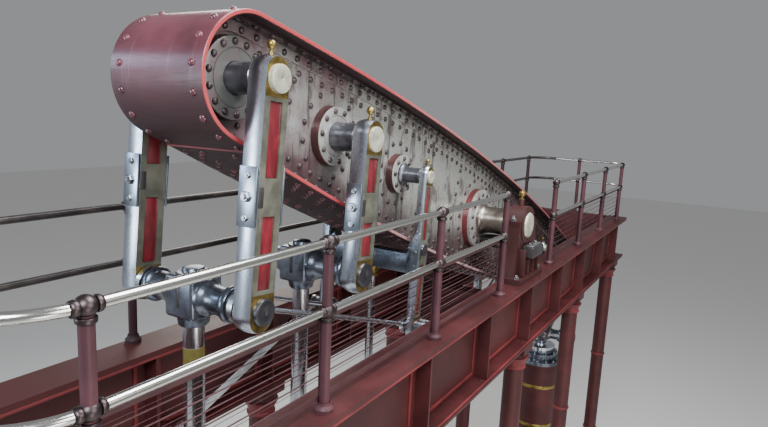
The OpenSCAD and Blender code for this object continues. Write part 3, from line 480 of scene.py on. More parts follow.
# Finishes by name, each with the function that makes it
MAKERS = {
    "cover": cover_finish,
    "web": web_finish,
    "boss": lambda: boss_finish("boss_plum", (0.050, 0.017, 0.017), (0.100, 0.028, 0.028), 0.80),
    # The end bosses take the boss finish darker all over: painted shade of the beam's round ends.
    "end_boss": lambda: boss_finish(
        "end_boss_plum", (0.020, 0.012, 0.012), (0.045, 0.022, 0.022), 0.30),
    "rivet": lambda: clouded_finish(
        "rivet_heads", (0.026, 0.014, 0.017), tone("web", 0.55), (3.5, 3, 0.5), (0.46, 0.66),
        (0.34, 0.15), metallic=0.1, coat=0.2, coat_rough=0.2),
    "cover_rivet": lambda: clouded_finish(
        "cover_rivets", tone("cover", 0.7), tone("cover", 1.35), (5.0, 3, 0.5), (0.4, 0.65),
        (0.20, 0.12), coat=0.5, coat_rough=0.1),
    "bars": lambda: clouded_finish(
        "olive_bars", tone("bars", 0.75), tone("bars", 1.4), (8, 5, 0.62), (0.36, 0.7),
        (0.34, 0.15), ((4, 4, 0.6, (14, 14, 1.3)), 0.58, 0.72, (0.05, 0.045, 0.035), 0.6),
        (0.1, 0.002), metallic=0.45, coat=0.2),
    "panel": lambda: clouded_finish(
        "red_panel", tone("panel", 0.70), tone("panel", 1.30), (7, 5, 0.6, (3, 3, 1)), (0.4, 0.7),
        (0.26, 0.16), bump=(0.12, 0.002), coat=0.4),
    "lagging": lambda: clouded_finish(
        "varnished_staves", (0.115, 0.040, 0.018), (0.24, 0.095, 0.040), (6, 5, 0.6, (9, 9, 0.7)),
        (0.35, 0.7), (0.28, 0.12),
        ((9, 2, 0.5, (1, 1, 0.05)), 0.4, 0.6, (0.09, 0.030, 0.014), 0.35), (0.08, 0.001), coat=0.4),
    "brass": brass_finish,
    "machined": machined_finish,
    "dark": dark_iron_finish,
    "steel": lambda: steel_finish("polished_steel"),
    "strap": lambda: steel_finish("strap_steel", (0.50, 0.55, 0.62), LONGWAYS, 0.23),
    "joint_plate": lambda: steel_finish("joint_plate_steel", (0.33, 0.38, 0.44), LONGWAYS, 0.24),
    "foot_pin": lambda: steel_finish("foot_pin_steel", (0.165, 0.170, 0.190), EVEN, 0.26),
    "bolt": lambda: steel_finish("bolt_steel", (0.24, 0.25, 0.27), EVEN, 0.24),
    "turned": lambda: steel_finish("turned_steel", (0.52, 0.53, 0.54), (1, 0.05, 1), 0.20),
    "ball": lambda: steel_finish("worn_fitting", (0.078, 0.060, 0.063), EVEN, 0.34),
    "rail": rail_finish,
    "greased_rod": greased_rod_finish,
    "pin": lambda: pin_finish("pin_steel", 0.44, (0.26, 0.27, 0.31), (0.13, 0.13, 0.15)),
    "journal": lambda: pin_finish("journal_steel", 0.62, (0.40, 0.36, 0.31), (0.20, 0.15, 0.13)),
    "iron": lambda: iron_finish("dark_red_iron", tone("iron")),
    "rib": lambda: iron_finish("rib_red", tone("rib")),
    "cylinder": lambda: iron_finish("cylinder_red", tone("iron"), 1.15),
    "pedestal": lambda: iron_finish("pedestal_brown", tone("pedestal")),
    "guard": lambda: iron_finish("mauve_post", tone("guard"), 1.0, 0.35),
    "wire": lambda: iron_finish("wire_paint", tone("wire")),
    "lap": lambda: iron_finish("lap_edge_pink", tone("lap")),
    # Painted shade inside the cover plate
    "lining": lambda: iron_finish("cover_lining_brown", tone("lining")),
    "floor": lambda: Graph("pale_floor").finish((0.86, 0.85, 0.83), 0.75),
}


@cache
def finish(name):
    """Returns a finish by name, made once."""
    return MAKERS[name]()


# Mesh helpers


def at(x, y, z):
    return Matrix.Translation((x, y, z))


def about_y(angle):
    return Matrix.Rotation(angle, 4, "Y")


def sides(matrix):
    """A matrix for the near side and its mirror for the far side."""
    return [matrix, MIRROR_Y @ matrix]


def both(points):
    """Matrices at points of the near side, and at their mirrors."""
    return [m for point in points for m in sides(at(*point))]


def join(bm, template, matrices):
    """Adds a copy of a bmesh to bm at each matrix, and frees the template."""
    source = bpy.data.meshes.new("template")
    template.to_mesh(source)
    template.free()
    for matrix in matrices:
        copy = source.copy()
        copy.transform(matrix)
        if matrix.determinant() < 0:
            copy.flip_normals()
        bm.from_mesh(copy)
        bpy.data.meshes.remove(copy)
    bpy.data.meshes.remove(source)


def piece(name, parts, body, finish_name, replaces=()):
    """Makes one piece that rides on a body, from pairs of a bmesh and its copies' matrices."""
    bm = bmesh.new()
    for template, matrices in parts:
        join(bm, template, matrices)
    bmesh.ops.recalc_face_normals(bm, faces=bm.faces)
    mesh = bpy.data.meshes.new(name)
    bm.to_mesh(mesh)
    bm.free()
    mesh.materials.append(finish(finish_name))
    mesh.shade_smooth()
    mesh.set_sharp_from_angle(angle=SHARP)
    thing = bpy.data.objects.new(name, mesh)
    bpy.context.scene.collection.objects.link(thing)
    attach(thing, body)
    if replaces:
        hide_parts(*replaces)


def turned(profile, steps=40):
    """Spins points (radius, along) about the Z axis into a closed turned shape."""
    bm = bmesh.new()
    verts = [bm.verts.new((r, 0, z)) for r, z in profile]
    edges = [bm.edges.new(pair) for pair in zip(verts, verts[1:])]
    bmesh.ops.spin(bm, geom=verts + edges, cent=(0, 0, 0), axis=(0, 0, 1), dvec=(0, 0, 0),
                   angle=2 * math.pi, steps=steps, use_merge=True, use_duplicate=False)
    bmesh.ops.remove_doubles(bm, verts=bm.verts, dist=1e-6)
    bmesh.ops.recalc_face_normals(bm, faces=bm.faces)
    return bm


def mirrored(half):
    """A turned profile with both ends, from the half beyond the middle."""
    return [(r, -z) for r, z in reversed(half)] + half


def pin_end(r, end, hole, depth):
    """The rounded end of a pin, with its centre hole."""
    return [(r, end - 0.007), (r - 0.002, end - 0.002), (r - 0.007, end), (hole, end),
            (0.008, end - 0.004), (0, end - depth)]


def soften(bm, edges, offset, segments):
    bmesh.ops.bevel(bm, geom=edges, offset=offset, affect="EDGES", segments=segments, profile=0.5,
                    material=-1)


def block(size, bevel, segments=2):
    """A box centred on the origin, with rounded edges."""
    bm = bmesh.new()
    bmesh.ops.create_cube(bm, size=1.0)
    bmesh.ops.scale(bm, vec=size, verts=bm.verts)
    soften(bm, bm.edges, bevel, segments)
    return bm


def plate(outline, thickness, bevel):
    """Extrudes an outline in the XZ plane along +Y and rounds its corners."""
    bm = bmesh.new()
    face = bm.faces.new([bm.verts.new((x, 0, z)) for x, z in outline])
    rest = bmesh.ops.extrude_face_region(bm, geom=[face])
    moved = [v for v in rest["geom"] if isinstance(v, bmesh.types.BMVert)]
    bmesh.ops.translate(bm, vec=(0, thickness, 0), verts=moved)
    bmesh.ops.recalc_face_normals(bm, faces=bm.faces)
    soften(bm, [e for e in bm.edges if abs(e.verts[0].co.y - e.verts[1].co.y) < 1e-6], bevel, 2)
    return bm


def band(loops):
    """Extrudes a closed loop of points through the next loops and back to itself."""
    bm = bmesh.new()
    verts = [bm.verts.new(p) for p in loops[0]]
    edges = [bm.edges.new(pair) for pair in zip(verts, verts[1:] + verts[:1])]
    for points in loops[1:] + loops[:1]:
        rest = bmesh.ops.extrude_edge_only(bm, edges=edges)["geom"]
        edges = [e for e in rest if isinstance(e, bmesh.types.BMEdge)]
        fresh = {v for v in rest if isinstance(v, bmesh.types.BMVert)}
        verts = [next(e.other_vert(v) for e in v.link_edges if e.other_vert(v) in fresh)
                 for v in verts]
        for vert, point in zip(verts, points):
            vert.co = point
    bmesh.ops.remove_doubles(bm, verts=bm.verts, dist=1e-6)
    return bm


def rivet_head(radius):
    """A low dome, a few dozen faces, sitting on z = 0."""
    bm = bmesh.new()
    bmesh.ops.create_uvsphere(bm, u_segments=10, v_segments=6, radius=radius)
    bmesh.ops.bisect_plane(bm, geom=bm.verts[:] + bm.edges[:] + bm.faces[:], plane_co=(0, 0, 0),
                           plane_no=(0, 0, 1), clear_inner=True)
    bmesh.ops.scale(bm, vec=(1, 1, 0.72), verts=bm.verts)
    return bm


def hex_nut(radius, height, bolt_r=0.0, bolt_h=0.0):
    """A chamfered nut on z = 0, with the bolt's end standing out of it."""
    bm = bmesh.new()
    bmesh.ops.create_cone(bm, cap_ends=True, segments=6, radius1=radius, radius2=radius,
                          depth=height)
    bmesh.ops.translate(bm, vec=(0, 0, height / 2), verts=bm.verts)
    top = [e for e in bm.edges if all(v.co.z > height * 0.9 for v in e.verts)]
    soften(bm, top, radius * 0.14, 1)
    if bolt_r:
        stud = bmesh.new()
        bmesh.ops.create_cone(stud, cap_ends=True, segments=12, radius1=bolt_r,
                              radius2=bolt_r * 0.85, depth=bolt_h)
        join(bm, stud, [at(0, 0, height + bolt_h / 2 - 0.001)])
    return bm


def arc(cx, cz, r, start, end, steps):
    """Points on an arc, angles in degrees, both ends included."""
    turn = [math.radians(start + (end - start) * i / steps) for i in range(steps + 1)]
    return [(cx + r * math.cos(a), cz + r * math.sin(a)) for a in turn]


def ring_spots(cx, r, count, phase=0.0):
    """Points spaced evenly on a circle."""
    turns = [2 * math.pi * (i + phase) / count for i in range(count)]
    return [(cx + r * math.cos(a), r * math.sin(a)) for a in turns]


def extent(node):
    """A node's middle and half its length along the engine, and its lowest and highest z."""
    low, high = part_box(node)
    return (low[0] + high[0]) / 2, (high[0] - low[0]) / 2, low[2], high[2]


# The beam


def edge_radius():
    """Radius of the beam's long curved edges."""
    s = sizes()
    return (END_RADIUS**2 + s.half_depth**2 - s.end_r**2) / (2 * (s.half_depth - s.end_r))


def edge_height(u, inset=0.0):
    """Half the beam's depth at u, inset from the cover plate's outer face."""
    return math.sqrt((edge_radius() - inset) ** 2 - u * u) - (edge_radius() - sizes().half_depth)


def beam_outline(inset, steps=56, arc_steps=48):
    """The beam's outline in its own slope, inset from the cover plate's outer face."""
    end_r = sizes().end_r
    reach = END_RADIUS * (edge_radius() - inset) / (edge_radius() - end_r)
    turn = math.degrees(math.asin(END_RADIUS / (edge_radius() - end_r)))
    spots = [reach * (2 * i / steps - 1) for i in range(steps + 1)]
    round_end = arc(END_RADIUS, 0, end_r - inset, 90 - turn, turn - 90, arc_steps)[1:-1]
    half = [(u, edge_height(u, inset)) for u in spots] + round_end
    return half + [(-x, -z) for x, z in half]


def beam_band(section):
    """A band that follows the beam's outline, from points (inset, y) across it."""
    return band([[(u, y, v) for u, v in beam_outline(inset)] for inset, y in section]), [ON_BEAM]


def along(outline, pitch, start):
    """Points spaced evenly along a closed outline, with the angle of the outward normal."""
    loop = list(zip(outline, outline[1:] + outline[:1]))
    total = sum(math.dist(a, b) for a, b in loop)
    count = round(total / pitch)
    gap = total / count
    spots = []
    travelled = 0.0
    wanted = gap * start
    for a, b in loop:
        length = math.dist(a, b)
        while len(spots) < count and wanted <= travelled + length and length > 0:
            t = (wanted - travelled) / length
            spots.append((a[0] + (b[0] - a[0]) * t, a[1] + (b[1] - a[1]) * t,
                          math.atan2(b[0] - a[0], -(b[1] - a[1]))))
            wanted += gap
        travelled += length
    return spots


class BEAM_OT_cover(bpy.types.Operator):
    """Adds the wrap-round cover plate with rounded edges, and its rivets"""

    bl_idname = "beam_engine.cover"
    bl_label = "Cover plate"

    def execute(self, context):
        s = sizes()
        soft = 0.004
        section = [(0, -COVER_HALF + soft), (soft, -COVER_HALF), (s.cover_t - soft, -COVER_HALF),
                   (s.cover_t, -COVER_HALF + soft)]
        section += [(inset, -y) for inset, y in reversed(section)]
        piece("cover_plate", [beam_band(section)], "beam", "cover",
              ["beam_cover_plate"])

        # Dark brown sheets inside the cover plate, from the webs out to the rim: painted shade
        # under the overhang.
        out, back = s.cover_t + 0.0005, s.cover_t + 0.0020
        webs, rim = 0.192, COVER_HALF - 0.006
        shade_sheets = [beam_band([(out, near), (out, far), (back, far), (back, near)])
                   for near, far in ((webs, rim), (-rim, -webs))]
        piece("cover_lining", shade_sheets, "beam", "lining")

        laps = [ON_BEAM @ at(u, 0, -edge_height(u)) @ about_y(-math.asin(u / edge_radius()))
                for u in (-LAP_OUT, LAP_OUT)]
        piece("cover_laps", [(block((0.022, 2 * COVER_HALF - 0.004, 0.008), 0.002), laps)], "beam",
              "lap")

        # Rows (y, start) all round, then those under the beam, between the laps
        rows = [(-0.290, 0.0, False), (0.290, 0.0, False), (-0.215, 0.5, True), (-0.140, 0.0, True),
                (0.140, 0.0, True), (0.215, 0.5, True)]
        heads = [ON_BEAM @ at(x, y, z) @ about_y(math.pi / 2 - a) for y, start, under in rows
                 for x, z, a in along(beam_outline(0.0), s.cover_pitch, start)
                 if not under or (z < 0 and abs(x) < LAP_OUT - 0.05)]
        piece("cover_rivets", [(rivet_head(s.rivet_r), heads)], "beam",
              "cover_rivet")

        feet = [ON_BEAM @ at(x, y, z) @ about_y(-math.pi / 2 - a) for y in (-0.245, 0.245)
                for x, z, a in along(beam_outline(s.cover_t + s.angle_t), s.cover_pitch, 0.5)]
        piece("foot_rivets", [(rivet_head(s.rivet_r * 0.9), feet)], "beam", "rivet")
        return {"FINISHED"}


class BEAM_OT_bosses(bpy.types.Operator):
    """Adds the turned gudgeon bosses with their collar rings"""

    bl_idname = "beam_engine.bosses"
    bl_label = "Bosses"

    def execute(self, context):
        rings = [self.ring(-HIGH_RADIUS, 0.215, 0.098, 0.146, BOSS_FACE),
                 self.ring(-BACK_RADIUS, 0.170, 0.064, 0.104, BOSS_FACE),
                 self.ring(BACK_RADIUS, 0.170, 0.064, 0.104, BOSS_FACE),
                 self.ring(0, 0.330, 0.150, 0.205, TRUNNION_FACE)]
        piece("bosses", rings, "beam", "boss", ["beam_bosses"])
        ends = [self.ring(u, 0.238, 0.089, 0.168, BOSS_FACE) for u in (-END_RADIUS, END_RADIUS)]
        piece("end_bosses", ends, "beam", "end_boss")
        return {"FINISHED"}

    def ring(self, u, radius, bore, collar, out):
        web = sizes().web_out
        soft = 0.012
        back = web - 0.002
        groove = out - 0.005
        profile = [(bore, back), (radius + 0.004, back), (radius + 0.001, web + 0.010),
                   (radius, web + 0.020), (radius, out - soft), (radius - 0.004, out - 0.004),
                   (radius - soft, out), (collar + 0.005, out), (collar + 0.002, groove),
                   (collar - 0.002, groove), (collar - 0.005, out), (bore + 0.006, out),
                   (bore, groove), (bore, back)]
        return turned(profile, 72), [ON_BEAM @ m for m in sides(at(u, 0, 0) @ ABOUT_Y)]


class BEAM_OT_web_rivets(bpy.types.Operator):
    """Adds the rows and rings of rivets on both webs"""

    bl_idname = "beam_engine.web_rivets"
    bl_label = "Web rivets"

    def execute(self, context):
        s = sizes()
        face = s.web_out
        row_inset = s.cover_t + s.angle_leg + 0.050
        ends = END_RADIUS - 0.05
        # Round each boss: the radius that is kept clear, and rings of rivets (radius, number)
        clear = [(-END_RADIUS, 0.27), (END_RADIUS, 0.27), (-HIGH_RADIUS, 0.245),
                 (-BACK_RADIUS, 0.2), (BACK_RADIUS, 0.2), (0, 0.36)]
        rings = [(-HIGH_RADIUS, 0.305, 15), (-BACK_RADIUS, 0.262, 13), (BACK_RADIUS, 0.262, 13),
                 (0, 0.425, 20), (-ends, 0.33, 16), (ends, 0.33, 16)]
        on_bosses = [(-END_RADIUS, 0.203, 14, BOSS_FACE), (END_RADIUS, 0.203, 14, BOSS_FACE),
                     (-HIGH_RADIUS, 0.181, 10, BOSS_FACE), (-BACK_RADIUS, 0.134, 8, BOSS_FACE),
                     (BACK_RADIUS, 0.134, 8, BOSS_FACE), (0, 0.268, 14, TRUNNION_FACE)]
        # Places of the upright rows
        columns = (-3.46, -2.48, -1.42, -1.30, -0.62, 0.62, 1.30, 1.42, 2.62, 2.74, 3.40)

        def reach(u):
            return edge_height(u, row_inset) - 0.055

        def is_free(x, z):
            return all(math.hypot(x - u, z) > r for u, r in clear)

        def is_off_rings(x, z):
            return all(abs(math.hypot(x - u, z) - r) >= 0.05 for u, r, _ in rings)

        rim_row = beam_outline(s.cover_t + s.angle_t + 0.034)
        flat = [(x, z, face + s.angle_t) for x, z, _ in along(rim_row, s.rivet_pitch, 0.25)]
        flat += [(x, z, face) for x, z, _ in along(beam_outline(row_inset), s.rivet_pitch, 0.75)
                 if is_free(x, z) and abs(x) < END_RADIUS + 0.05]
        flat += [(x, z, face) for u, r, count in rings for x, z in ring_spots(u, r, count, 0.5)
                 if abs(z) < reach(x) and is_free(x, z)]
        for u in columns:
            count = max(2, round(2 * reach(u) / s.rivet_pitch))
            levels = [reach(u) * (2 * i / count - 1) for i in range(count + 1)]
            flat += [(u, z, face) for z in levels if is_free(u, z) and is_off_rings(u, z)]
        flat += [(x, z, out) for u, r, count, out in on_bosses
                 for x, z in ring_spots(u, r, count, 0.3)]
        for name, side in (("web_rivets_near", Matrix()), ("web_rivets_far", MIRROR_Y)):
            spots = [ON_BEAM @ side @ at(x, -y, z) @ ABOUT_Y for x, z, y in flat]
            piece(name, [(rivet_head(s.rivet_r), spots)], "beam", "rivet")
        return {"FINISHED"}


class BEAM_OT_gudgeons(bpy.types.Operator):
    """Adds the turned gudgeons and the trunnion shaft"""

    bl_idname = "beam_engine.gudgeons"
    bl_label = "Gudgeons and trunnion"

    def execute(self, context):
        # Each gudgeon's place, radius, radius at the boss, and the inner face of its links
        plans = [("low_gudgeon", -END_RADIUS, 0.079, 0.112, 0.415),
                 ("high_gudgeon", -HIGH_RADIUS, 0.088, 0.105, 0.429),
                 ("back_gudgeon", -BACK_RADIUS, 0.054, 0.092, 0.423),
                 ("pump_gudgeon", END_RADIUS, 0.079, 0.112, 0.415),
                 ("pump_back_gudgeon", BACK_RADIUS, 0.054, 0.092, 0.423)]
        for node, u, r, root, inner in plans:
            neck = r + SHOULDER
            flare = [(root, -0.02), (root, 0.018), (root - 0.006, 0.026), (neck + 0.008, 0.034),
                     (neck + 0.001, 0.055), (neck, 0.075)]
            is_plain = r > 0.07
            roots = [(neck, -0.02)] if is_plain else flare
            half = [(a, BOSS_FACE + b) for a, b in roots]
            half += [(neck, inner - 0.004), (neck - 0.003, inner), (r, inner)]
            half += pin_end(r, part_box(node)[1][1], 0.016, 0.006)
            place = ON_BEAM @ at(u, 0, 0) @ ABOUT_Y
            piece(node + "_turned", [(turned(mirrored(half), 56), [place])], "beam",
                  "pin", [node])

        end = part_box("trunnion_shaft")[1][1]
        flare = [(0.150, -0.02), (0.168, 0.002), (0.168, 0.030), (0.158, 0.040), (0.149, 0.060),
                 (0.143, 0.140), (0.146, 0.200)]
        journal = [(0.152, 0.070), (0.152, 0.012), (0.147, 0.007), (0.137, 0.007)]
        tip = [(0.137, 0.018), (0.133, 0.008), (0.126, 0.002), (0.118, 0), (0.022, 0),
               (0.012, 0.006), (0, 0.008)]
        half = [(a, TRUNNION_FACE + b) for a, b in flare]
        half += [(a, BEARING_IN - b) for a, b in journal] + [(a, end - b) for a, b in tip]
        piece("trunnion_turned", [(turned(mirrored(half), 72), [ON_BEAM @ ABOUT_Y])], "beam",
              "journal", ["trunnion_shaft"])
        return {"FINISHED"}


# The links


STRAP_RISE = 0.025
STRAP_T = 0.012
PIN_PROUD = 0.018
JOINT_LEN = 0.330
JOINT_T = 0.010
BLOCK_LEN = 0.210
RECESS = 0.018
FOOT_PIN_IN = 0.3735


class LinkPlan(NamedTuple):
    """Where a pair of links hangs and how big it is."""

    body: str
    node: str
    foot: Vector
    side: int
    half_w: float
    length: float
    out: float
    thick: float
    pin_r: float
    half_brass: float

    @property
    def mid(self):
        return -self.out + self.thick / 2

    def spots(self, *matrices):
        """Places on both links, from matrices in the near link's own slope."""
        place = Matrix.Translation(self.foot) @ about_y(-self.side * LEAN)
        return [place @ m for matrix in matrices for m in sides(matrix)]

    def piece(self, ending, parts, slot, finish_name, replaces=()):
        piece(self.node + ending, parts, self.body, finish_name, replaces)


def link_plans():
    end = (0.105, LINK_LEN, 0.550, 0.128, 0.079, 0.100)
    high = (0.112, HIGH_LINK_LEN, 0.558, 0.122, 0.088, 0.108)
    back = (0.072, LINK_LEN, 0.500, 0.070, 0.054, 0.075)
    return [LinkPlan("low_links", "low_link", LOW_FOOT, -1, *end),
            LinkPlan("high_links", "high_link", HIGH_FOOT, -1, *high),
            LinkPlan("back_links", "back_link", BACK_FOOT, -1, *back),
            LinkPlan("pump_links", "pump_link", PUMP_FOOT, 1, *end),
            LinkPlan("pump_back_links", "pump_back_link", PUMP_BACK_FOOT, 1, *back)]


class BEAM_OT_links(bpy.types.Operator):
    """Adds half-round straps, panels, joint plates, bolts and oil cups to every link"""

    bl_idname = "beam_engine.links"
    bl_label = "Links"

    def execute(self, context):
        for plan in link_plans():
            self.straps(plan)
            self.pins(plan)
            self.panels(plan)
            self.bolts(plan)
            self.oil_cups(plan)
        return {"FINISHED"}

    def straps(self, plan):
        crown = 0.010
        reach = plan.thick / 2
        steps = [2 * i / 8 - 1 for i in range(9)]
        section = [(crown * t * t, plan.mid + reach * t) for t in steps]
        section += [(STRAP_T, plan.mid + reach), (STRAP_T, plan.mid - reach)]
        loops = []
        for inset, y in section:
            r = plan.half_w - inset
            outline = arc(0, plan.length + STRAP_RISE, r, 0, 180, 28)
            outline += arc(0, -STRAP_RISE, r, 180, 360, 28)
            loops.append([(x, y, z) for x, z in outline])
        plan.piece("_straps_turned", [(band(loops), plan.spots(Matrix()))], "bright_steel", "strap",
                   [plan.node + "_straps"])
        edge = plan.half_w + JOINT_T / 2 - 0.002
        spots = plan.spots(*(at(x, plan.mid, plan.length / 2) for x in (-edge, edge)))
        joint = block((JOINT_T + 0.004, plan.thick, JOINT_LEN), 0.003)
        plan.piece("_joint_plates", [(joint, spots)], "bright_steel", "joint_plate")

    def pins(self, plan):
        inner = plan.out - plan.thick if plan.node == "high_link" else FOOT_PIN_IN
        spans = [(0, plan.pin_r, inner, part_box(plan.node + "_straps")[1][1])]
        if plan.node == "back_link":
            rod_pin = plan.length * (1 - BACK_RADIUS / END_RADIUS)
            spans.append((rod_pin, 0.050, plan.out - plan.thick, plan.out + PIN_PROUD))
        parts = []
        for z, r, inner, outer in spans:
            profile = [(0, inner), (r - 0.004, inner), (r, inner + 0.004)]
            profile += pin_end(r, outer, 0.015, 0.005)
            parts.append((turned(profile, 48), plan.spots(at(0, 0, z) @ ABOUT_Y)))
        plan.piece("_foot_pins", parts, "bright_steel", "foot_pin")

    def panels(self, plan):
        bar = plan.half_w * 0.42
        rim = 0.006
        length = (plan.length - BLOCK_LEN) / 2 - plan.half_brass - bar / 2
        width = 2 * (plan.half_w - STRAP_T - bar)
        parts = []
        for z in (plan.half_brass + bar / 2 + length / 2,
                  plan.length - plan.half_brass - bar / 2 - length / 2):
            for y in (-plan.out + RECESS - 0.003, -plan.out + plan.thick - RECESS + 0.003):
                parts.append((block((width - 0.004, 0.008, length - 0.004), 0.002),
                              plan.spots(at(0, y, z))))
                rims = plan.spots(at(-width / 2 + rim / 2, y, z), at(width / 2 - rim / 2, y, z))
                parts.append((block((rim, 0.014, length), 0.002), rims))
        plan.piece("_panels", parts, "link_bars", "panel")

        # A thin dark block on each face of the link marks the cotter slot: painted shade of the
        # slot's hollow.
        x = plan.side * (plan.half_w - STRAP_T - bar / 2)
        faces = (-plan.out - 0.001, -plan.out + plan.thick + 0.001)
        ways = plan.spots(*(at(x, y, plan.length / 2) for y in faces))
        plan.piece("_cotter_ways", [(block((bar * 0.80, 0.004, 0.112), 0.0015), ways)],
                   "link_bars", "dark")

    def bolts(self, plan):
        big = plan.half_w * 0.30
        small = big * 0.62
        parts = []
        for side in (-1, 1):
            turn = about_y(side * math.pi / 2)
            for offset, r in ((-0.115, small), (0, big), (0.115, small)):
                x = side * (plan.half_w + JOINT_T - 0.001)
                spot = at(x, plan.mid, plan.length / 2 + offset) @ turn
                parts.append((hex_nut(r, r * 0.7, r * 0.5, r * 0.35), plan.spots(spot)))
        plan.piece("_bolts", parts, "bright_steel", "bolt")

    def oil_cups(self, plan):
        s = plan.half_w / 0.105
        top = plan.length + STRAP_RISE + plan.half_w - 0.003
        profile = [(0, 0), (0.016 * s, 0), (0.016 * s, 0.010), (0.009 * s, 0.014),
                   (0.008 * s, 0.030)]
        profile += arc(0, 0.052 * s + 0.004, 0.026 * s, -70, 90, 12)
        plan.piece("_oil_cups", [(turned(profile, 24), plan.spots(at(0, plan.mid, top)))],
                   "brasses", "brass")


# The crossheads, yoke and rods


class BEAM_OT_crossheads(bpy.types.Operator):
    """Adds the forged crossheads with turned arms, cotters and domed caps"""

    bl_idname = "beam_engine.crossheads"
    bl_label = "Crossheads"

    def execute(self, context):
        # Each crosshead's body, level, rod radius, end of its arms, and pin radius
        plans = [("low_crosshead", "low_piston", LOW_FOOT.z, 0.065, 0.3665, 0.079),
                 ("high_crosshead", "high_piston", TRUNNION.z, 0.062, 0.429, 0.088),
                 ("pump_crosshead", "pump_ram", PUMP_FOOT.z, 0.080, 0.3665, 0.079)]
        up = 0.130
        for node, body, z, rod, end, pin_r in plans:
            x, half = extent(node)[:2]
            place = at(x, 0, z)
            skirt = [(0, -0.190), (rod + 0.018, -0.190), (rod + 0.026, -0.182),
                     (half * 0.82, -0.140), (half * 0.9, -0.125), (0, -0.120)]
            dome = [(0, up - 0.01), (half * 0.86, up - 0.01), (half * 0.86, up + 0.006),
                    (half * 0.80, up + 0.012), (0.070, up + 0.014), (0.066, up + 0.030),
                    (0.060, up + 0.038), (0.035, up + 0.0435), (0, up + 0.0448)]
            root = [(0, -0.01), (0.112, -0.006), (0.112, 0.014), (0.108, 0.026), (0.096, 0.042),
                    (0.089, 0.062), (0.086, 0.085)]
            collar = [(0.086, 0.085), (0.090, 0.072), (0.104, 0.062), (0.110, 0.052),
                      (0.110, 0.024), (0.104, 0.014), (pin_r + 0.010, 0.012), (pin_r + 0.008, 0),
                      (0, 0)]
            arm = [(a, half + b) for a, b in root] + [(a, end - b) for a, b in collar]
            forging = [(block((2 * half, 2 * half, 2 * up), 0.022, 3), [place]),
                       (turned(skirt, 48), [place]), (turned(dome, 48), [place]),
                       (turned(arm, 56), [place @ ABOUT_Y, place @ MIRROR_Y @ ABOUT_Y])]
            piece(node + "_forged", forging, body, "machined", [node])
            keys = [(block((0.030, 2 * half + 0.006, 0.150), 0.004), [at(x, 0, z + 0.010)]),
                    (block((2 * half + 0.006, 0.030, 0.130), 0.004), [at(x, 0, z + 0.005)])]
            piece(node + "_cotters", keys, body, "dark")
        return {"FINISHED"}


class BEAM_OT_yoke(bpy.types.Operator):
    """Adds the air-pump yoke with rounded corners, and its brass boss"""

    bl_idname = "beam_engine.yoke"
    bl_label = "Air-pump yoke"

    def execute(self, context):
        x = extent("air_pump_yoke")[0]
        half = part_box("air_pump_yoke")[1][1]
        inner = half - 0.042
        tip, bottom, top = -0.02, -0.215, -0.045
        thick, outer_r, inner_r = 0.110, 0.055, 0.025
        outline = [(-half, tip)]
        outline += arc(-half + outer_r, bottom + outer_r, outer_r, 180, 270, 6)
        outline += arc(half - outer_r, bottom + outer_r, outer_r, 270, 360, 6)
        outline += [(half, tip), (inner, tip)]
        outline += arc(inner - inner_r, top + inner_r, inner_r, 0, -90, 5)
        outline += arc(-inner + inner_r, top + inner_r, inner_r, -90, -180, 5)
        outline += [(-inner, tip)]
        turn = at(x - thick / 2, 0, TRUNNION.z) @ Matrix.Rotation(-math.pi / 2, 4, "Z")
        eye = [(0, 0), (0.051, 0), (0.055, 0.004), (0.055, 0.038), (0.051, 0.042), (0, 0.042)]
        eyes = [at(x, side * inner, TRUNNION.z) @ Matrix.Rotation(-side * math.pi / 2, 4, "X")
                for side in (-1, 1)]
        piece("air_pump_yoke_forged", [(plate(outline, thick, 0.006), [turn]), (turned(eye), eyes)],
              "air_pump_bucket", "machined", ["air_pump_yoke"])
        boss = [(0.037, -0.305), (0.060, -0.305), (0.065, -0.299), (0.065, -0.285), (0.058, -0.279),
                (0.058, -0.232), (0.072, -0.224), (0.072, -0.2155), (0.037, -0.2155)]
        piece("air_pump_rod_brass", [(turned(boss), [at(x, 0, TRUNNION.z)])], "air_pump_bucket",
              "brass")
        return {"FINISHED"}


class BEAM_OT_rods(bpy.types.Operator):
    """Adds turned knuckles to the parallel rods"""

    bl_idname = "beam_engine.rods"
    bl_label = "Rods"

    def execute(self, context):
        lane = 0.396
        span = END_RADIUS - BACK_RADIUS
        profile = [(0.0165, 0.085), (0.0165, 0.092), (0.018, 0.094), (0.018, 0.150), (0.024, 0.160),
                   (0.019, 0.172), (0.017, 0.200), (0.0185, span / 2), (0.017, span - 0.180),
                   (0.019, span - 0.150), (0.024, span - 0.138), (0.018, span - 0.126),
                   (0.018, span - 0.070), (0.0165, span - 0.066)]
        for name, body, foot, way in (
                ("parallel_knuckles", "parallel_motion_rods", LOW_FOOT, 1),
                ("pump_parallel_knuckles", "pump_parallel_motion_rods", PUMP_FOOT, -1)):
            place = Matrix.Translation(foot) @ about_y(SLOPE)
            spots = [place @ m @ about_y(way * math.pi / 2) for m in sides(at(0, -lane, 0))]
            piece(name, [(turned(profile, 24), spots)], body, "steel")
        return {"FINISHED"}


# The bearings


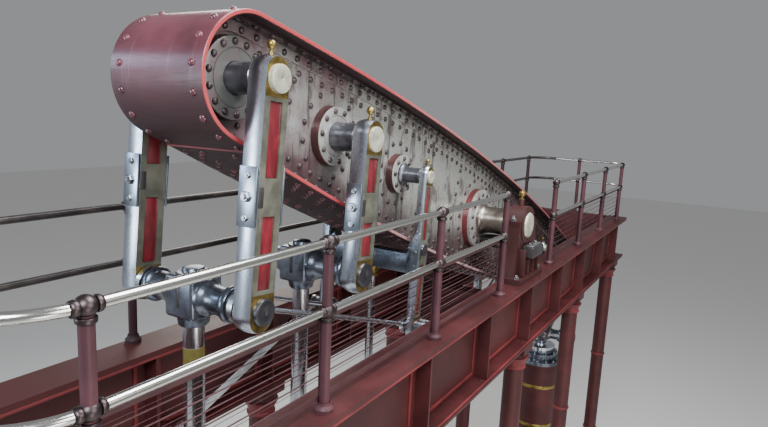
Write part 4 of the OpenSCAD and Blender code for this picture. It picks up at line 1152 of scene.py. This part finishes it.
class BEAM_OT_bearings(bpy.types.Operator):
    """Adds cap studs, lubricators, oil boxes, ribs and sole bolts to the trunnion bearings"""

    bl_idname = "beam_engine.bearings"
    bl_label = "Trunnion bearings"

    def execute(self, context):
        z = TRUNNION.z
        mid = -(BEARING_IN + BEARING_OUT) / 2
        caps = both((x, mid, z + 0.060) for x in (-0.222, 0.222))
        soles = both((x, y, DECK_Z + 0.060) for x in (-0.355, 0.355)
                     for y in (mid + 0.045, mid - 0.125))
        nuts = [(hex_nut(0.030, 0.032, 0.016, 0.030), caps),
                (hex_nut(0.028, 0.028, 0.015, 0.022), soles)]
        piece("bearing_nuts", nuts, "frame", "turned")

        ribs = both((x, -BEARING_OUT - 0.040, DECK_Z + 0.21) for x in (-0.235, -0.08, 0.08, 0.235))
        ring = [(0.1375, 0), (0.196, 0), (0.203, 0.006), (0.203, 0.012), (0.1375, 0.012)]
        parts = [(block((0.022, 0.080, 0.30), 0.005), ribs),
                 (turned(ring, 64), sides(at(0, -BEARING_OUT + 0.004, z) @ ABOUT_Y))]
        piece("bearing_ribs", parts, "frame", "pedestal")

        box_y = -BEARING_OUT - 0.072
        boxes = [(block((0.34, 0.130, 0.120), 0.010), sides(at(0.02, box_y, z - 0.270)))]
        piece("oil_boxes", boxes, "frame", "dark")
        knobs = both((x, box_y, z - 0.200) for x in (-0.08, 0.10))
        lids = [(block((0.30, 0.100, 0.012), 0.004), sides(at(0.02, box_y, z - 0.205))),
                (hex_nut(0.016, 0.020), knobs)]
        piece("oil_box_lids", lids, "frame", "turned")

        cup = [(0, 0), (0.030, 0), (0.030, 0.008), (0.014, 0.014), (0.012, 0.030), (0.030, 0.036),
               (0.034, 0.042), (0.034, 0.082), (0.030, 0.088), (0.012, 0.092), (0.006, 0.102),
               (0, 0.104)]
        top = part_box("trunnion_caps")[1][2]
        cups = [(turned(cup, 32), sides(at(0, mid, top - 0.002)))]
        piece("lubricators", cups, "frame", "brass")

        x, r = extent("drip_trays")[:2]
        tray_y = 0.430
        base = z - 0.222
        dish = [(0, 0.006), (r * 0.8, 0.006), (r * 0.94, 0.012), (r - 0.004, 0.030),
                (r - 0.002, 0.033), (r, 0.030), (r, 0.024), (r * 0.95, 0.004), (r * 0.82, 0.0),
                (0.034, 0.0), (0.026, -0.012), (0.022, -0.060), (0, -0.060)]
        arm = block((0.050, BEARING_IN - tray_y + 0.03, 0.024), 0.006)
        trays = [(turned(dish, 56), sides(at(x, -tray_y, base))),
                 (arm, sides(at(x, -(BEARING_IN + tray_y - 0.03) / 2, base - 0.070)))]
        piece("drip_trays_spun", trays, "frame", "dark", ["drip_trays"])
        return {"FINISHED"}


# The frame, cylinders and rails


class BEAM_OT_girders(bpy.types.Operator):
    """Adds the girders' ribs, panel mouldings and bolts"""

    bl_idname = "beam_engine.girders"
    bl_label = "Girders"

    def execute(self, context):
        half, low, high = extent("girder_near")[1:]
        wide = BAY - 0.20
        tall = high - low - 0.24
        mid_z = (low + high) / 2
        off_web = 0.021
        panels = [((-0.5 + i) * BAY, -GIRDER_Y + face * off_web) for i in range(-3, 5)
                  for face in (-1, 1)]
        rails = both((x, y, mid_z + dz) for x, y in panels for dz in (-tall / 2, tall / 2))
        stiles = both((x + dx, y, mid_z) for x, y in panels for dx in (-wide / 2, wide / 2))
        mouldings = [(block((wide, 0.014, 0.030), 0.004), rails),
                     (block((0.030, 0.014, tall), 0.004), stiles)]
        piece("girder_mouldings", mouldings, "frame", "rib")

        spots = both((0, -GIRDER_Y + dy, z) for dy in (0.148, -0.148)
                     for z in (high - 0.051, low + 0.051))
        piece("girder_ribs", [(block((2 * half - 0.02, 0.024, 0.022), 0.006), spots)], "frame",
              "rib")

        spots = both((i * BAY + dx, -GIRDER_Y + dy, low + 0.040) for i in range(-4, 5)
                     for dx in (-0.055, 0.055) for dy in (0.09, -0.09))
        bolts = [(hex_nut(0.022, 0.020, 0.011, 0.012), spots)]
        piece("girder_bolts", bolts, "frame", "iron")
        return {"FINISHED"}


class BEAM_OT_columns(bpy.types.Operator):
    """Adds turned mouldings to the columns, nuts to their feet, and the bedplate's lip"""

    bl_idname = "beam_engine.columns"
    bl_label = "Columns and bedplate"

    def execute(self, context):
        base, top = extent("columns")[2:]
        r = 0.110
        foot = [(r, 0.150), (r + 0.050, 0.150), (r + 0.056, 0.165), (r + 0.046, 0.182),
                (r + 0.022, 0.190), (r + 0.018, 0.215), (r + 0.004, 0.240), (r, 0.240)]
        neck = [(r, -0.150), (r + 0.045, -0.150), (r + 0.040, -0.175), (r + 0.016, -0.205),
                (r + 0.010, -0.250), (r + 0.020, -0.262), (r + 0.020, -0.280), (r + 0.006, -0.292),
                (r, -0.292)]
        waist = [(r, 0.0), (r + 0.012, 0.006), (r + 0.016, 0.020), (r + 0.012, 0.034), (r, 0.040)]
        places = (-5.05, -2.45, 0.0, 2.45, 5.05)
        levels = ((foot, base), (neck, top), (waist, base + 1.4), (waist, base + 2.9))
        mouldings = [(turned(profile), both((x, -GIRDER_Y, z) for x in places))
                     for profile, z in levels]
        piece("column_mouldings", mouldings, "frame", "rib")

        out = 0.118
        spots = both((x + dx, -GIRDER_Y + dy, base + 0.090) for x in places
                     for dx in (-out, out) for dy in (-out, out))
        nuts = [(hex_nut(0.024, 0.024, 0.013, 0.020), spots)]
        piece("column_nuts", nuts, "frame", "iron")

        wide, deep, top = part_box("bedplate")[1]
        z = top + 0.024
        lips = [(block((2 * wide - 0.04, 0.030, 0.050), 0.008),
                 [at(0, side * (deep - 0.016), z) for side in (-1, 1)]),
                (block((0.030, 2 * deep - 0.06, 0.050), 0.008),
                 [at(side * (wide - 0.020), 0, z) for side in (-1, 1)])]
        piece("bedplate_lip", lips, "frame", "iron")
        return {"FINISHED"}


class BEAM_OT_cylinders(bpy.types.Operator):
    """Adds lagging, bands, cover nuts and gland studs to the cylinders and pumps"""

    bl_idname = "beam_engine.cylinders"
    bl_label = "Cylinders and pumps"

    def execute(self, context):
        # Each barrel's rod radius, and whether wooden staves go round it
        plans = [("low_cylinder", 0.065, True), ("high_cylinder", 0.062, True),
                 ("air_pump", 0.037, False), ("pump_barrel", 0.230, False)]
        staves, bands, nuts, glands = [], [], [], []
        for node, rod, is_lagged in plans:
            x, flange, low, high = extent(node)
            barrel = flange - 0.040
            foot = low + 0.050
            top = high - 0.050
            reach = barrel
            if is_lagged:
                reach += 0.020
                count = round(2 * math.pi * barrel / 0.085)
                wide = 2 * math.pi * (barrel + 0.011) / count
                stave = block((0.018, wide - 0.003, top - foot - 0.004), 0.003, 1)
                turns = [Matrix.Rotation(2 * math.pi * i / count, 4, "Z") for i in range(count)]
                staves.append((stave, [at(x, 0, 0) @ turn @ at(barrel + 0.010, 0, (top + foot) / 2)
                                       for turn in turns]))
            rows = max(3, round((top - foot) / 0.75))
            ring = [(reach - 0.004, -0.030), (reach + 0.004, -0.030), (reach + 0.006, -0.026),
                    (reach + 0.006, 0.026), (reach + 0.004, 0.030), (reach - 0.004, 0.030),
                    (reach - 0.004, -0.030)]
            levels = [foot + (top - foot) * (i + 0.5) / rows for i in range(rows)]
            bands.append((turned(ring, 72), [at(x, 0, z) for z in levels]))
            ring = ring_spots(x, flange - 0.032, max(10, round(2 * math.pi * flange / 0.16)))
            nuts.append((hex_nut(0.021, 0.022, 0.011, 0.014), [at(*p, high + 0.060) for p in ring]))
            ring = ring_spots(x, rod + 0.060, 10 if rod > 0.1 else 6)
            gland_nut = hex_nut(0.015, 0.016, 0.008, 0.016)
            glands.append((gland_nut, [at(*p, high + 0.180) for p in ring]))
        piece("lagging", staves, "frame", "lagging")
        piece("lagging_bands", bands, "frame", "brass")
        piece("cover_nuts", nuts, "frame", "turned")
        piece("gland_nuts", glands, "frame", "turned")
        return {"FINISHED"}


class BEAM_OT_guards(bpy.types.Operator):
    """Adds collars, ball fittings and feet to the guard rails, and the fine infill wires"""

    bl_idname = "beam_engine.guards"
    bl_label = "Guard rails"

    def execute(self, context):
        first = 0.840
        pitch = 1.427
        near_y, far_y = -0.840, 0.880
        posts = [(s * (first + i * pitch), y) for s in (-1, 1) for i in range(4)
                 for y in (near_y, far_y)]
        collar = [(0.0235, 0.034), (0.032, 0.036), (0.034, 0.042), (0.032, 0.056), (0.027, 0.062),
                  (0.0235, 0.064)]
        ring = [(0.029, -0.036), (0.038, -0.038), (0.040, -0.044), (0.038, -0.058), (0.030, -0.064),
                (0.0285, -0.064)]
        balls = [at(x, y, DECK_Z + z) for x, y in posts for z in RAIL_HEIGHTS]
        # The posts at the gap by the trunnion have no rail on their inner side
        ends = [at(x, y, DECK_Z + z) @ about_y(side * math.pi / 2)
                for x, y in posts for z in RAIL_HEIGHTS for side in (-1, 1)
                if abs(x) - first >= 0.01 or side * x >= 0]
        piece("rail_collars", [(turned(collar, 24), ends), (turned(ring, 24), balls)], "frame",
              "ball")

        ball = bmesh.new()
        bmesh.ops.create_uvsphere(ball, u_segments=28, v_segments=18, radius=0.0432)
        balls += [at(s * RAIL_END, 0, DECK_Z + z) for s in (-1, 1) for z in RAIL_HEIGHTS]
        piece("rail_balls", [(ball, balls)], "frame", "ball")

        base = [(0.030, 0.018), (0.054, 0.018), (0.057, 0.024), (0.050, 0.034), (0.040, 0.044),
                (0.0375, 0.060), (0.036, 0.060)]
        piece("post_feet", [(turned(base, 28), [at(x, y, DECK_Z) for x, y in posts])], "frame",
              "guard")

        rows = sizes().wire_rows
        low_z = 0.092
        high_z = RAIL_HEIGHTS[0] - 0.070
        length = 3 * pitch
        wire_r = 0.0016
        wire = bmesh.new()
        bmesh.ops.create_cone(wire, cap_ends=True, segments=6, radius1=wire_r, radius2=wire_r,
                              depth=length)
        levels = [low_z + (i + 0.5) * (high_z - low_z) / rows for i in range(rows)]
        spots = [at(side * (first + length / 2), near_y + 0.039, DECK_Z + z) @ about_y(math.pi / 2)
                 for z in levels for side in (-1, 1)]
        piece("infill_wires", [(wire, spots)], "frame", "wire")
        return {"FINISHED"}


# Finishes of the carried-over parts


class BEAM_OT_finishes(bpy.types.Operator):
    """Gives every part that keeps its own shape its finish"""

    bl_idname = "beam_engine.finishes"
    bl_label = "Finishes"

    def execute(self, context):
        plans = {
            "web": ("beam_web_near", "beam_web_far", "beam_angle_irons"),
            "bars": [plan.node + "_frames" for plan in link_plans()],
            "brass": [plan.node + "_brasses" for plan in link_plans()],
            "steel": ("parallel_rods", "pump_parallel_rods", "radius_rods", "pump_radius_rods",
                      "high_piston_rod", "air_pump_rod", "pump_rod"),
            "iron": ("girder_near", "girder_far", "cross_girders", "columns", "bedplate"),
            "cylinder": ("low_cylinder", "high_cylinder", "air_pump", "pump_barrel",
                         "cylinder_stools"),
            "machined": ["stuffing_boxes"],
            "guard": ["guard_posts"],
            "wire": ["guard_mesh"],
            "pedestal": ("trunnion_pedestals", "trunnion_caps"),
            "greased_rod": ["low_piston_rod"],
            "rail": ["guard_rails"],
        }
        for finish_name, nodes in plans.items():
            for node in nodes:
                mesh = frame["nodes"][node].data
                mesh.materials.clear()
                mesh.materials.append(finish(finish_name))
        return {"FINISHED"}


# The stage


class BEAM_OT_stage(bpy.types.Operator):
    """Sets the pale floor, soft studio lights and the camera at the photo's angle"""

    bl_idname = "beam_engine.stage"
    bl_label = "Stage"

    def execute(self, context):
        self.camera()
        self.lights()
        self.floor()
        return {"FINISHED"}

    def camera(self):
        yaw, pitch, roll = (math.radians(angle) for angle in (30.93, -9.45, 2.67))
        focal_px, image_px = 599.5, 768
        flat = math.cos(pitch)
        ahead = Vector((math.cos(yaw) * flat, math.sin(yaw) * flat, math.sin(pitch)))
        right = ahead.cross(Vector((0, 0, 1))).normalized()
        up = right.cross(ahead)
        across = right * math.cos(roll) + up * math.sin(roll)
        upward = up * math.cos(roll) - right * math.sin(roll)
        turn = Matrix((across, upward, -ahead)).transposed().to_4x4()
        data = bpy.data.cameras.new("camera")
        data.sensor_width = 36.0
        data.lens = data.sensor_width * focal_px / image_px
        data.clip_end = 200
        camera = bpy.data.objects.new("camera", data)
        camera.matrix_world = at(-6.316, -2.755, DECK_Z + 1.712) @ turn
        bpy.context.scene.collection.objects.link(camera)
        bpy.context.scene.camera = camera

    def lights(self):
        world = bpy.data.worlds.new("studio")
        world.use_nodes = True
        back = world.node_tree.nodes["Background"]
        back.inputs["Color"].default_value = (0.86, 0.87, 0.90, 1)
        back.inputs["Strength"].default_value = 0.34
        bpy.context.scene.world = world
        # Each light's place, aim, width, power and tint
        plans = [("window", (-9.5, -3.5, 11.5), (-2.0, 0, 6.6), 4.0, 900, (0.90, 0.95, 1.0)),
                 ("side_window", (-10.4, 4.4, 7.0), (-3.2, 0, 6.6), 3.0, 330, (0.78, 0.88, 1.0)),
                 ("high_window", (-10.4, 10.6, 10.8), (-4.0, 0, 7.6), 3.4, 330, (0.62, 0.74, 1.0)),
                 ("skylight", (-1.5, -2.4, 12.0), (-1.5, -0.8, 6.6), 5.0, 900, (0.95, 0.98, 1.0)),
                 ("fill", (-3.0, -9.0, 9.5), (-1.5, 0, 6.6), 6.0, 560, (1.0, 0.96, 0.90)),
                 ("back", (5.0, 7.5, 11.0), (0, 0, 6.4), 6.0, 520, (1.0, 0.95, 0.88)),
                 ("low", (-6.5, -8.5, 3.4), (0, 0, 3.5), 4.0, 240, (1.0, 0.97, 0.94))]
        for name, place, aim, width, power, tint in plans:
            data = bpy.data.lights.new(name, "AREA")
            data.shape = "DISK"
            data.size = width
            data.energy = power
            data.color = tint
            light = bpy.data.objects.new(name, data)
            light.location = place
            light.rotation_euler = (Vector(aim) - Vector(place)).to_track_quat("-Z", "Y").to_euler()
            bpy.context.scene.collection.objects.link(light)

    def floor(self):
        bm = bmesh.new()
        bmesh.ops.create_grid(bm, x_segments=1, y_segments=1, size=60)
        mesh = bpy.data.meshes.new("floor")
        bm.to_mesh(mesh)
        bm.free()
        mesh.materials.append(finish("floor"))
        ground = bpy.data.objects.new("floor", mesh)
        bpy.context.scene.collection.objects.link(ground)


class BEAM_PT_panel(bpy.types.Panel):
    """Lists the steps that dress the engine"""

    bl_idname = "BEAM_PT_panel"
    bl_label = "Beam Engine"
    bl_space_type = "VIEW_3D"
    bl_region_type = "UI"
    bl_category = "Beam Engine"

    def draw(self, context):
        for operator in OPERATORS:
            self.layout.operator(operator.bl_idname)
        for group in (context.scene.beam_engine_sizes, context.scene.beam_engine_colours):
            for key in group.__annotations__:
                self.layout.prop(group, key)


OPERATORS = (BEAM_OT_stage, BEAM_OT_cover, BEAM_OT_bosses, BEAM_OT_web_rivets, BEAM_OT_gudgeons,
             BEAM_OT_links, BEAM_OT_crossheads, BEAM_OT_yoke, BEAM_OT_rods, BEAM_OT_bearings,
             BEAM_OT_girders, BEAM_OT_columns, BEAM_OT_cylinders, BEAM_OT_guards, BEAM_OT_finishes)
CLASSES = (BeamEngineSizes, BeamEngineColours) + OPERATORS + (BEAM_PT_panel,)


def register():
    for cls in CLASSES:
        bpy.utils.register_class(cls)
    bpy.types.Scene.beam_engine_sizes = PointerProperty(type=BeamEngineSizes)
    bpy.types.Scene.beam_engine_colours = PointerProperty(type=BeamEngineColours)


def unregister():
    del bpy.types.Scene.beam_engine_colours
    del bpy.types.Scene.beam_engine_sizes
    for cls in reversed(CLASSES):
        bpy.utils.unregister_class(cls)


def main():
    register()
    bpy.ops.beam_engine.stage()
    bpy.ops.beam_engine.cover()
    bpy.ops.beam_engine.bosses()
    bpy.ops.beam_engine.web_rivets()
    bpy.ops.beam_engine.gudgeons()
    bpy.ops.beam_engine.links()
    bpy.ops.beam_engine.crossheads()
    bpy.ops.beam_engine.yoke()
    bpy.ops.beam_engine.rods()
    bpy.ops.beam_engine.bearings()
    bpy.ops.beam_engine.girders()
    bpy.ops.beam_engine.columns()
    bpy.ops.beam_engine.cylinders()
    bpy.ops.beam_engine.guards()
    bpy.ops.beam_engine.finishes()


if __name__ == "__main__":
    main()
